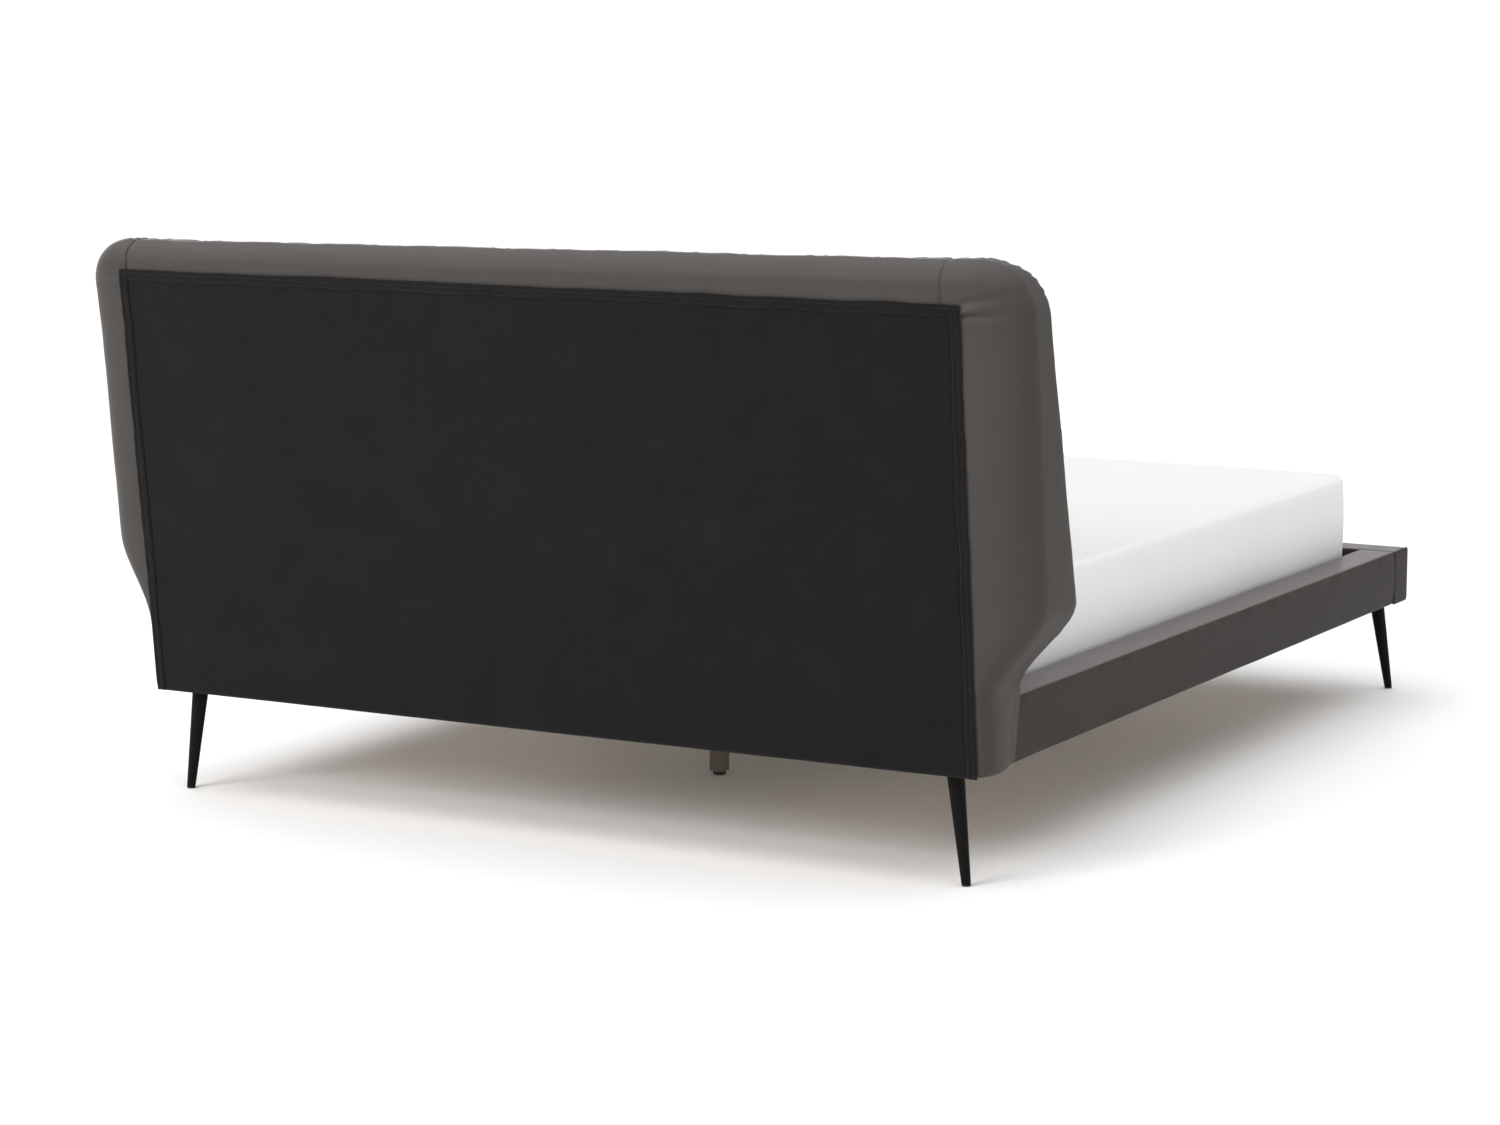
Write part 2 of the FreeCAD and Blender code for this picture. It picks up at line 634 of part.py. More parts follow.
def make_foot_rail(holes):
    core = block("foot_core", ("-core_out", "foot_outer + rail_pad", "core_low"),
                 ("2 * core_out", "rail_depth - 2 * rail_pad", "core_top - core_low"))
    node(cut("foot_rail_core", core, [holes["bolts"], holes["screws"]]), "foot_rail_core")

    corners = [("foot_outer", "leg_height"), ("foot_face", "leg_height"),
               ("foot_face", "rail_top"), ("foot_outer", "rail_top")]
    cover = prism("foot_cover", "YZ_Plane", corners, "-rail_side", "2 * rail_side")
    dress_edges(cover, "Fillet", "rail_edge", lambda edge: runs_along(edge, 0))
    cavity = block("foot_room", ("-core_out", "foot_outer + rail_pad", "core_low"),
                   ("2 * core_out", "rail_depth - 2 * rail_pad", "core_top - core_low"))
    window = block("foot_open", ("-core_in", "foot_core_face - rail_pad", "core_low"),
                   ("2 * core_in", "3 * rail_pad", "clear_top - core_low"))
    ends = [block("foot_slot", (start, "foot_core_face - rail_pad", "core_low"),
                  ("core_out - core_in", "3 * rail_pad", "core_top - core_low"))
            for start in ("core_in", "-core_out")]
    node(cut("foot_rail_cover", cover, [cavity, window, *ends, holes["screws"]]), "foot_rail_cover")


# ---- corner brackets and the beam's hangers ----

def make_brackets(holes):
    sheet, reach, tall = "bracket_sheet", "bracket_reach", "bracket_height"
    size_x, size_y = (reach, sheet, tall), (sheet, reach, tall)
    foot = fuse("foot_angle", [
        block("foot_flange", ("core_in - bracket_sheet", "foot_core_face", "bracket_low"), size_y),
        block("foot_flange", ("core_in - bracket_reach", "foot_core_face", "bracket_low"), size_x)])
    pair(cut("corner_bracket_foot", foot, [holes["bolts"]]), "corner_bracket_foot")

    low_y = "frame_front + (bracket_low - leg_height) * lean"
    high, high_y = f"bracket_low + {tall}", f"{low_y} + {tall} * lean"
    front = f"{low_y} - {reach}"
    leaned = lean_back(block("head_flange", (
        "core_in - bracket_reach", f"{low_y} - bracket_sheet / cos(head_lean)", "bracket_low"),
        (reach, sheet, f"{tall} / cos(head_lean)")))
    straight = prism("head_side_flange", "YZ_Plane", [
        (front, "bracket_low"), (low_y, "bracket_low"), (high_y, high), (front, high)],
        "core_in - bracket_sheet", sheet)
    head = fuse("head_angle", [leaned, straight])
    pair(cut("corner_bracket_head", head, [holes["bolts"]]), "corner_bracket_head")


def make_hanger(name, low_y, plate):
    """A cradle for one end of the beam: a U of steel on a back plate."""
    width = "beam_width + 2 * hanger_sheet + 2 * soft_gap"
    floor = block(f"{name}_floor", (f"-({width}) / 2", low_y, "beam_low - hanger_sheet"),
                  (width, "hanger_reach", "hanger_sheet"))
    cheeks = [block(f"{name}_cheek", (start, low_y, "beam_low - hanger_sheet"),
                    ("hanger_sheet", "hanger_reach", "hanger_side"))
              for start in (f"-({width}) / 2", "beam_width / 2 + soft_gap")]
    node(fuse(name, [floor, *cheeks, plate]), name)


def make_beam():
    run = "beam_end - beam_start"
    outer = block("beam_outer", ("-beam_width / 2", "beam_start", "beam_low"),
                  ("beam_width", run, "beam_height"))
    inner = block("beam_inner", (
        "beam_wall - beam_width / 2", "beam_start - beam_wall", "beam_low + beam_wall"),
        ("beam_width - 2 * beam_wall", f"{run} + 2 * beam_wall", "beam_height - 2 * beam_wall"))
    node(cut("centre_beam", outer, [inner]), "centre_beam")

    low, left = "beam_low - hanger_sheet", "-hanger_width / 2"
    plate_size = ("hanger_width", "hanger_sheet", "beam_height")
    plate = block("hanger_plate", (left, "foot_core_face", low), plate_size)
    make_hanger("beam_hanger_foot", "foot_core_face", plate)
    rail_y = f"frame_front + ({low} - leg_height) * lean"
    plate = lean_back(block("hanger_plate", (
        left, f"{rail_y} - hanger_sheet / cos(head_lean)", low), plate_size))
    make_hanger("beam_hanger_head", f"{rail_y} - hanger_reach", plate)


# ---- centre legs under the beam, each with a screw-in foot ----

def make_prop(name, share):
    y = f"foot_face + inner_length * {share}"
    low = "foot_height + soft_gap"
    top = "beam_low - hanger_sheet"
    half, room = "prop_width / 2", "prop_width - 2 * prop_wall"
    tube = block(f"{name}_tube", (f"-{half}", f"{y} - {half}", low),
                 ("prop_width", "prop_width", f"{top} - {low}"))
    bore = block(f"{name}_bore", (
        f"prop_wall - {half}", f"{y} + prop_wall - {half}", f"{low} + prop_plug"),
        (room, room, f"{top} - {low} - prop_plug"))
    thread = rod(f"{name}_thread", ("0", y, "0"), "foot_stem + soft_gap",
                 f"{low} + 2 * prop_plug", SHANK_SIDES)
    plate = block(f"{name}_plate", ("-beam_width / 2", f"{y} - prop_plate / 2", top),
                  ("beam_width", "prop_plate", "hanger_sheet"))
    leg = cut(f"{name}_leg", tube, [bore, thread])
    node(fuse(f"centre_leg_{name}", [leg, plate]), f"centre_leg_{name}")

    disc = rod(f"{name}_disc", ("0", y, "0"), "foot_radius", "foot_height", LEG_SIDES)
    stem = rod(f"{name}_stem", ("0", y, "0"), "foot_stem", "foot_height + foot_stem_length",
               SHANK_SIDES)
    node(fuse(f"levelling_foot_{name}", [disc, stem]), f"levelling_foot_{name}")


# ---- slats, their holders and the ledges ----

def slat_shape():
    """One sprung slat of the left row: a bowed strip, at the row's start."""
    low, start, end = places.slat_seat, places.slat_in, places.slat_out
    y = places.foot_face + sizes.slat_margin - sizes.slat_width / 2
    shares = [step / SLAT_STEPS for step in range(SLAT_STEPS + 1)]
    under = [FreeCAD.Vector(start + (end - start) * share, y,
                            low + 4 * sizes.slat_bow * share * (1 - share)) for share in shares]
    rise = FreeCAD.Vector(0, 0, sizes.slat_sheet)
    over = [point + rise for point in reversed(under)]
    side = Part.Face(Part.makePolygon(under + over + under[:1]))
    return side.extrude(FreeCAD.Vector(0, sizes.slat_width, 0))


def holder_block(low_x, high_x):
    wide = sizes.slat_width + 2 * (sizes.holder_wall + sizes.soft_gap)
    y = places.foot_face + sizes.slat_margin - wide / 2
    return Part.makeBox(high_x - low_x, wide, places.holder_height,
                        FreeCAD.Vector(low_x, y, places.ledge_top))


def holder_pocket(low_x, high_x):
    wide = sizes.slat_width + 2 * sizes.soft_gap
    y = places.foot_face + sizes.slat_margin - wide / 2
    return Part.makeBox(high_x - low_x, wide, sizes.slat_sheet + sizes.holder_slack,
                        FreeCAD.Vector(low_x, y, places.ledge_top + sizes.holder_wall))


def make_slats():
    pitch = (places.inner_length - 2 * sizes.slat_margin) / (sizes.slat_rows - 1)
    moves = [(0, row * pitch, 0) for row in range(int(sizes.slat_rows))]
    pair(solid_of("slats", Part.makeCompound(copies(slat_shape(), moves))), "slats")

    gap = sizes.soft_gap
    outer = places.bay_side - gap
    inner = outer - sizes.holder_length
    over = sizes.holder_wall
    holder = holder_block(inner, outer).cut(holder_pocket(inner - over, places.slat_out + gap))
    pair(solid_of("slat_holders", Part.makeCompound(copies(holder, moves))), "slat_holders")

    half = places.holder_half
    centre = holder_block(-half, half)
    centre = centre.cut(holder_pocket(places.slat_in - gap, half + over))
    centre = centre.cut(holder_pocket(-half - over, gap - places.slat_in))
    centres = solid_of("slat_holders_centre", Part.makeCompound(copies(centre, moves)))
    node(centres, "slat_holders_centre")

    ledge = block("slat_ledge", (
        "core_in - ledge_width", "foot_core_face + ledge_margin", "ledge_top - ledge_height"),
        ("ledge_width", "frame_front - foot_core_face - 2 * ledge_margin", "ledge_height"))
    pair(ledge, "slat_ledge")


# ---- corner legs ----

def leg_shape(top, toe):
    """A straight taper with flat sides, from its toe out to its top further in."""
    def ring(x, y, height, radius):
        spokes = [2 * pi * side / LEG_SIDES for side in range(LEG_SIDES)]
        return [FreeCAD.Vector(x + radius * cos(spoke), y + radius * sin(spoke), height)
                for spoke in spokes]

    low = ring(*toe, sizes.glide_height, sizes.leg_toe_radius)
    high = ring(*top, places.leg_top, sizes.leg_top_radius)
    outlines = [low + low[:1], high + high[:1]]
    outlines += [[low[side - 1], low[side], high[side], high[side - 1], low[side - 1]]
                 for side in range(LEG_SIDES)]
    return Part.makeSolid(Part.makeShell([Part.Face(Part.makePolygon(line)) for line in outlines]))


def make_leg(end, holes):
    """One splayed leg with its mounting plate above and its glide below."""
    x, y, toe_y = (getattr(places, f"{end}_{place}") for place in ("leg_x", "leg_y", "toe_y"))
    shape = leg_shape((x, y), (x + sizes.leg_splay, toe_y))
    pair(solid_of(f"leg_{end}", shape), f"leg_{end}")

    plate = block(f"{end}_plate", (
        f"{end}_leg_x - plate_size / 2", f"{end}_leg_y - plate_size / 2", "leg_top"),
        ("plate_size", "plate_size", "plate_sheet"))
    pair(cut(f"leg_plate_{end}", plate, [holes["screws"]]), f"leg_plate_{end}")
    toe = (f"{end}_leg_x + leg_splay", f"{end}_toe_y", "0")
    glide = rod(f"leg_glide_{end}", toe, "leg_toe_radius", "glide_height", LEG_SIDES)
    pair(glide, f"leg_glide_{end}")


# ---- assembly ----

def build():
    holes = {"screws": solid_of("screw_clearance", screw_holes(sizes.hole_gap)),
             "bolts": solid_of("bolt_clearance", bolt_holes(sizes.hole_gap))}
    make_mattress()
    make_head_frame(holes)
    form = make_upholstery()
    make_dust_cover()
    make_side_rails(holes, form)
    make_foot_rail(holes)
    make_brackets(holes)
    make_bracket_bolts()
    make_beam()
    for name, share in (("front", "1 / 4"), ("middle", "1 / 2"), ("rear", "3 / 4")):
        make_prop(name, share)
    make_slats()
    make_leg("foot", holes)
    make_leg("head", holes)
    make_leg_screws()
    doc.recompute()


def check_and_export():
    for thing in doc.Objects:
        if "Invalid" in thing.State or "Error" in thing.State:
            raise RuntimeError(f"{thing.Label} did not recompute: {thing.State}")
    for piece in nodes:
        if piece.Shape.isNull() or not piece.Shape.isValid() or not piece.Shape.Solids:
            raise RuntimeError(f"{piece.Label} has no valid solid")
    os.makedirs("parts", exist_ok=True)
    for piece in nodes:
        piece.Shape.exportStep(f"parts/{piece.Label}.step")


build()
check_and_export()
print(len(nodes), "nodes,", sum(len(piece.Shape.Solids) for piece in nodes), "solids")
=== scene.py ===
import json
from math import atan2, cos, hypot, pi, radians, sin, sqrt, tan

import bmesh
import bpy
import numpy as np
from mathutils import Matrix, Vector, kdtree, noise
from mathutils.bvhtree import BVHTree


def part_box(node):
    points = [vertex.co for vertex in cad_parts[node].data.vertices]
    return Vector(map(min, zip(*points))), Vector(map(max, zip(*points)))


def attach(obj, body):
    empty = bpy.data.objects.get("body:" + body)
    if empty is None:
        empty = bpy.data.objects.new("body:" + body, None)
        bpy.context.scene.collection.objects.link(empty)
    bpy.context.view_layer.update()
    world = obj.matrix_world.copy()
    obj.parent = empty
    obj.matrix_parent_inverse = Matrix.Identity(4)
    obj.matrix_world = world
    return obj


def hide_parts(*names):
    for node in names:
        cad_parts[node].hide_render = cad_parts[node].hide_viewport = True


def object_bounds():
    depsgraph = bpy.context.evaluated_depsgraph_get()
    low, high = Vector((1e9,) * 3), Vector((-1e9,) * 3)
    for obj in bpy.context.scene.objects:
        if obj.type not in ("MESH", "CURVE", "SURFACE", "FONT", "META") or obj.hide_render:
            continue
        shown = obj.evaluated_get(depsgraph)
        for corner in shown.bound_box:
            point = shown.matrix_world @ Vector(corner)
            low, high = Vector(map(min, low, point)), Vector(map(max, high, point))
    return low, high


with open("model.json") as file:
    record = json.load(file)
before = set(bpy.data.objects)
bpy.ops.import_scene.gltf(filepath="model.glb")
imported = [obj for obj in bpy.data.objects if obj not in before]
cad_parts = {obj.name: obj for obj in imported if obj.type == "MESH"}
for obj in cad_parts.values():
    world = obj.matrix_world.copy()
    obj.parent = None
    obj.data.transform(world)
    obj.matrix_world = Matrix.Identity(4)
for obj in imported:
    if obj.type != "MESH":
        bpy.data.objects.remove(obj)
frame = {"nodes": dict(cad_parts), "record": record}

CAD_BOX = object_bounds()
NODES = frame["nodes"]

# ---- places read from the frame, in metres ----

HIGH = CAD_BOX[1]
RAIL_LOW, RAIL_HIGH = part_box("side_rail_cover_left")
FOOT_LOW, FOOT_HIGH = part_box("foot_rail_cover")
DUST_LOW, DUST_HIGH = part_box("dust_cover")
SLATS_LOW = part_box("slat_holders_left")[0]

SIDES = ((1, "left"), (-1, "right"))
ENDS = ("front", "middle", "rear")
CORNERS = [f"{end}_{name}" for end in ("foot", "head") for _, name in SIDES]

# ---- the headboard's form ----

HEAD_HALF = HIGH.x
HEAD_TOP = HIGH.z
HEAD_FOOT = RAIL_LOW.z
RAIL_TOP = RAIL_HIGH.z
RAIL_SIDE = RAIL_HIGH.x
LEAN, FACE_LEAN = radians(6.1), radians(10.6)
SWEEP_HIGH, SWEEP_LOW = tan(radians(10.2)), tan(radians(17.4))
BAY_LENGTH = 2.012
HEAD_BASE = DUST_LOW.y
HEAD_FACE = FOOT_HIGH.y + BAY_LENGTH
TOE_IN, FLARE = 0.022, 0.007
SWELL_LOW, SWELL = RAIL_TOP + 0.006, 0.175
CORNER, CREST, TOE_ROUND = 0.095, 0.045, 0.012
HEEL, BASE_HEEL, BASE_BULGE, NOSE = 0.084, 0.045, 0.014, 0.025
DUST_HALF, DUST_TOP = DUST_HIGH.x + 0.003, DUST_HIGH.z + 0.005
CHANNEL_EDGE, PITCH = 0.774, 0.1308
CHANNEL_SEAMS = [(k + 0.5) * PITCH for k in range(7)]
OUTER_SEAM = CHANNEL_SEAMS[-1]
SEAM_X = {1: DUST_HALF - 0.016, -1: DUST_HALF - 0.038}
CREST_TILT = 0.009


def round_off(depth, radius):
    depth = max(0.0, min(depth, radius))
    return radius - sqrt(max(0.0, radius ** 2 - depth ** 2))


def smooth(value):
    value = max(0.0, min(value, 1.0))
    return value * value * (3 - 2 * value)


def back_at(z):
    return HEAD_BASE + (z - HEAD_FOOT) * tan(LEAN)


def face_at(z):
    rise = z - RAIL_TOP
    if rise < 0:
        return HEAD_FACE - rise / (RAIL_TOP - HEAD_FOOT) * TOE_IN
    return HEAD_FACE + rise * tan(FACE_LEAN)


def wing_share(z):
    return smooth((z - SWELL_LOW) / SWELL)


def half_at(z):
    narrow = RAIL_SIDE + FLARE
    swell = (HEAD_HALF - narrow) * wing_share(z)
    return narrow + swell - round_off(z - (HEAD_TOP - CORNER), CORNER)


def sweep_at(z):
    """Slope of the wings' front: steepest just above the rails, easing up to the corners."""
    full = SWELL_LOW + SWELL
    ease = (z - full) / (HEAD_TOP - CORNER - full)
    return SWEEP_HIGH + (SWEEP_LOW - SWEEP_HIGH) * wing_share(z) * (1 - max(0.0, min(ease, 1.0)))


class Section:
    """The headboard's plan outline at one height."""

    def __init__(self, z, inset=0.0):
        toe = round_off(HEAD_FOOT + TOE_ROUND - z, TOE_ROUND)
        drawn = round_off(z - (HEAD_TOP - CREST), CREST) + toe + inset
        self.z = z
        self.half = half_at(z) - toe - inset
        self.back = back_at(z) - drawn
        self.face = face_at(z) + drawn
        self.flat = min(DUST_HALF, self.half - 0.003)
        self.tip = self.face - (self.half - NOSE - CHANNEL_EDGE) * sweep_at(z)
        self.rear = self.half + BASE_BULGE * (1 - wing_share(z))
        depth = self.back - self.tip
        self.nose = min(NOSE, depth * 0.4)
        self.heel = min(BASE_HEEL + (HEEL - BASE_HEEL) * wing_share(z), depth * 0.5)

    def point(self, zone, t):
        if zone == "front":
            return t, self.face
        if zone == "sweep":
            end = self.half - self.nose
            if t < 0.5:
                x = CHANNEL_EDGE + (OUTER_SEAM - CHANNEL_EDGE) * 2 * t
            else:
                x = OUTER_SEAM + (end - OUTER_SEAM) * (2 * t - 1)
            return x, self.face + (self.tip - self.face) * (x - CHANNEL_EDGE) / (end - CHANNEL_EDGE)
        if zone == "nose":
            return (self.half - self.nose * (1 - sin(t * pi / 2)),
                    self.tip + self.nose * (1 - cos(t * pi / 2)))
        if zone == "side":
            low, high = self.tip + self.nose, self.back - self.heel
            return self.half + (self.rear - self.half) * sin(t * pi / 2), low + (high - low) * t
        if zone == "heel":
            return (self.flat + (self.rear - self.flat) * cos(t * pi / 2),
                    self.back - self.heel * (1 - sin(t * pi / 2)))
        return t, self.back


def spread(start, end, count, power=1.0):
    return [start + (end - start) * (k / count) ** power for k in range(count + 1)]


WING_STITCH = 0.018
SEAM_STEPS = [0.0, 0.002, 0.005, 0.010, 0.017, 0.027, 0.040, 0.054]


def seam_gap(x):
    """How far a place across the front lies from the nearest channel seam."""
    return min(abs(abs(x) - seam) for seam in CHANNEL_SEAMS)


def channel_columns():
    """X places over the front's channels: close together at each stitched seam."""
    near = [seam + way * step for seam in CHANNEL_SEAMS for step in SEAM_STEPS for way in (-1, 1)]
    return sorted({0.0, CHANNEL_EDGE} | {round(x, 5) for x in near if 0.004 <= x <= CHANNEL_EDGE - 0.004})


FRONT_X = channel_columns()
SWEEP_T = ([0.5 - step / (OUTER_SEAM - CHANNEL_EDGE) / 2 for step in reversed(SEAM_STEPS)]
           + [0.51, 0.53, 0.56, 0.60, 0.66, 0.73, 0.81, 0.90, 1.0])
TOP = Section(HEAD_TOP)
SWEEP_X = [TOP.point("sweep", t)[0] for t in SWEEP_T]
BESIDE_SEAMS = [seam + step for seam in SEAM_X.values() for step in (-0.003, 0, 0.003)]
BACK_X = [x for x in sorted(FRONT_X + SWEEP_X + BESIDE_SEAMS) if x < DUST_HALF - 0.001]
COLUMNS = ([("front", x) for x in FRONT_X] + [("sweep", t) for t in SWEEP_T]
           + [("nose", t) for t in spread(0, 1, 14)[1:]] + [("side", t) for t in spread(0, 1, 16)[1:]]
           + [("heel", t) for t in spread(0, 1, 26)[1:]] + [("back", x) for x in reversed(BACK_X)])
LEVELS = (spread(HEAD_FOOT, HEAD_FOOT + TOE_ROUND, 6, 1.6) + spread(HEAD_FOOT + TOE_ROUND, RAIL_TOP, 10)[1:]
          + spread(RAIL_TOP, SWELL_LOW + SWELL, 30)[1:]
          + spread(SWELL_LOW + SWELL, HEAD_TOP - CORNER, 46)[1:]
          + spread(HEAD_TOP - CORNER, HEAD_TOP - CREST, 14)[1:]
          + [HEAD_TOP - CREST * (1 - sin(pi / 2 * k / 22)) for k in range(1, 23)])
CAP_STEPS = 4
UNDER_INSETS = (0.003, 0.013, 0.026)


def head_grid():
    """Places of the headboard's outer form: rows up the height, columns round one half."""
    def row_at(section, z):
        return [Vector((*section.point(zone, t), z)) for zone, t in COLUMNS]
    rows = [row_at(Section(z), z) for z in LEVELS]
    top, middle = rows[-1], (TOP.back + TOP.face) / 2
    goals = [Vector((min(point.x, DUST_HALF - 0.002), middle, HEAD_TOP)) for point in top]
    for step in range(1, CAP_STEPS + 1):
        rows.append([point.lerp(goal, step / CAP_STEPS) for point, goal in zip(top, goals)])
    under = [row_at(Section(HEAD_FOOT, inset), HEAD_FOOT + 0.0005) for inset in reversed(UNDER_INSETS)]
    return under + rows


# ---- small mesh helpers ----

WELD = 1e-5


def mesh_object(name, verts, faces):
    mesh = bpy.data.meshes.new(name)
    mesh.from_pydata([tuple(v) for v in verts], [], faces)
    mesh.update()
    for polygon in mesh.polygons:
        polygon.use_smooth = True
    thing = bpy.data.objects.new(name, mesh)
    bpy.context.scene.collection.objects.link(thing)
    return thing


def grid_faces(rows, columns, closed=False):
    faces = []
    for r in range(rows - 1):
        for c in range(columns if closed else columns - 1):
            d = (c + 1) % columns
            faces.append((r * columns + c, r * columns + d, (r + 1) * columns + d, (r + 1) * columns + c))
    return faces


def ring_faces(rings, sides, start_open=False):
    """Faces of a solid made of rings, with a flat face on its last ring and, if not open, its first."""
    ends = [tuple(range(sides))[::-1], tuple((rings - 1) * sides + k for k in range(sides))]
    return grid_faces(rings, sides, closed=True) + ends[start_open:]


def circle(radius, height, sides):
    turns = [2 * pi * k / sides for k in range(sides)]
    return [Vector((radius * cos(turn), radius * sin(turn), height)) for turn in turns]


def clean(thing):
    bm = bmesh.new()
    bm.from_mesh(thing.data)
    bmesh.ops.remove_doubles(bm, verts=bm.verts, dist=WELD)
    bmesh.ops.dissolve_degenerate(bm, edges=bm.edges, dist=WELD)
    bmesh.ops.recalc_face_normals(bm, faces=bm.faces)
    bm.to_mesh(thing.data)
    bm.free()
    return thing


def face_outward(thing, outward):
    """Flips the mesh where most of its faces look against what outward(face) calls out."""
    if sum(outward(face) for face in thing.data.polygons) < 0:
        thing.data.flip_normals()


def apply_modifiers(thing):
    graph = bpy.context.evaluated_depsgraph_get()
    mesh = bpy.data.meshes.new_from_object(thing.evaluated_get(graph))
    thing.modifiers.clear()
    thing.data = mesh
    return thing


def thicken(thing, depth):
    """Gives a sheet its depth, inward from where it lies."""
    shell = thing.modifiers.new("thickness", "SOLIDIFY")
    shell.thickness = depth
    shell.offset = -1
    shell.use_even_offset = False
    return apply_modifiers(thing)


def displace(thing, amount):
    """Moves each vertex along its normal by amount(place, normal)."""
    mesh = thing.data
    normals = [vertex.normal.copy() for vertex in mesh.vertices]
    for vertex, normal in zip(mesh.vertices, normals):
        vertex.co += normal * amount(vertex.co, normal)
    mesh.update()
    return thing


def ripple(place, scale, seed):
    return noise.noise(Vector((place.x * scale + seed, place.y * scale - seed, place.z * scale + 2 * seed)))


def ring_round(point, side, up, radius, sides):
    turns = [2 * pi * k / sides for k in range(sides)]
    return [point + (side * cos(turn) + up * sin(turn)) * radius for turn in turns]


def tube(name, points, radius, closed=False):
    """A thin round cord along points."""
    count, sides = len(points), 8
    verts = []
    for index, point in enumerate(points):
        before = points[index - 1] if index or closed else point
        after = points[(index + 1) % count] if index < count - 1 or closed else point
        way = (after - before).normalized()
        side = way.cross(Vector((0.13, 0.31, 0.94))).normalized()
        verts += ring_round(point, side, side.cross(way), radius, sides)
    if not closed:
        return mesh_object(name, verts, ring_faces(count, sides))
    faces = grid_faces(count + 1, sides, closed=True)
    return mesh_object(name, verts, [tuple(k % len(verts) for k in face) for face in faces])


# ---- materials ----

def add_node(tree, kind, inputs=None, **facts):
    node = tree.nodes.new(kind)
    for name, value in facts.items():
        setattr(node, name, value)
    for name, value in (inputs or {}).items():
        if isinstance(value, bpy.types.NodeSocket):
            tree.links.new(value, node.inputs[name])
        else:
            node.inputs[name].default_value = value
    return node


def ramp_color(tree, source, stops):
    """Colour from a value, through (position, colour) stops."""
    ramp = add_node(tree, "ShaderNodeValToRGB", {"Fac": source})
    elements = ramp.color_ramp.elements
    while len(elements) < len(stops):
        elements.new(0.5)
    for element, (spot, color) in zip(elements, stops):
        element.position = spot
        element.color = (*color, 1)
    return ramp.outputs["Color"]


def mix_color(tree, share, first, second):
    """Colour from first, where share is 0, to second, where it is 1."""
    mixed = add_node(tree, "ShaderNodeMix", {"Factor": share}, data_type="RGBA")
    tree.links.new(first, mixed.inputs[6])
    if isinstance(second, bpy.types.NodeSocket):
        tree.links.new(second, mixed.inputs[7])
    else:
        mixed.inputs[7].default_value = (*second, 1)
    return mixed.outputs[2]


class Finish:
    """A procedural material: every pattern is laid in object space, in metres."""

    def __init__(self, name, color, rough, metallic=0.0):
        self.name, self.base = name, color
        self.material = bpy.data.materials.new(name)
        self.material.use_nodes = True
        self.tree = self.material.node_tree
        self.shader = self.tree.nodes["Principled BSDF"]
        self.shader.inputs["Base Color"].default_value = (*color, 1)
        self.shader.inputs["Roughness"].default_value = rough
        self.shader.inputs["Metallic"].default_value = metallic
        self.material.diffuse_color = (*color, 1)
        self.place = self.tree.nodes.new("ShaderNodeTexCoord").outputs["Object"]
        self.height = None

    def add(self, kind, inputs=None, **facts):
        return add_node(self.tree, kind, inputs, **facts)

    def stretched(self, scale):
        return self.add("ShaderNodeMapping", {"Vector": self.place, "Scale": scale}).outputs["Vector"]

    def noise(self, scale, detail=4.0, rough=0.6, place=None):
        inputs = {"Vector": place or self.place, "Scale": scale, "Detail": detail, "Roughness": rough}
        return self.add("ShaderNodeTexNoise", inputs).outputs["Fac"]

    def cells(self, scale, feature="DISTANCE_TO_EDGE"):
        return self.add("ShaderNodeTexVoronoi", {"Vector": self.place, "Scale": scale},
                        feature=feature).outputs["Distance"]

    def ramp(self, source, stops):
        return ramp_color(self.tree, source, stops)

    def mottle(self, scale, detail, rough, *stops):
        """The base colour, darker and lighter by noise through (position, factor) stops."""
        return self.ramp(self.noise(scale, detail, rough),
                         [(spot, tint(self.base, factor)) for spot, factor in stops])

    def spread(self, source, low, high, start, end):
        """A value from low to high while the source goes from start to end."""
        inputs = {"Value": source, "From Min": start, "From Max": end, "To Min": low, "To Max": high}
        return self.add("ShaderNodeMapRange", inputs).outputs["Result"]

    def paint_top_lighting(self, source, color, start=0.72):
        """The source's colour, turning to color on the faces that look up: painted top light on the leather,
        painted top shade on the mattress.
        """
        normal = self.add("ShaderNodeTexCoord").outputs["Normal"]
        rise = self.add("ShaderNodeSeparateXYZ", {"Vector": normal}).outputs["Z"]
        return mix_color(self.tree, self.spread(rise, 0.0, 1.0, start, 0.96), source, color)

    def color(self, source):
        self.tree.links.new(source, self.shader.inputs["Base Color"])

    def rough(self, source, low, high, start=0.3, end=0.7):
        self.tree.links.new(self.spread(source, low, high, start, end), self.shader.inputs["Roughness"])

    def bump(self, source, distance, strength):
        inputs = {"Height": source, "Distance": distance, "Strength": strength}
        if self.height:
            inputs["Normal"] = self.height
        self.height = self.add("ShaderNodeBump", inputs).outputs["Normal"]
        self.tree.links.new(self.height, self.shader.inputs["Normal"])

    def set(self, **values):
        for name, value in values.items():
            self.shader.inputs[name.replace("_", " ").title().replace("Ior", "IOR")].default_value = value


def tint(color, factor):
    return tuple(channel * factor for channel in color)


LEATHER = (0.0615, 0.0557, 0.0514)
# Cool tint of the leather's painted top light: a painted sky reflection.
PAINTED_SKY_TINT = (1.0, 1.035, 1.09)


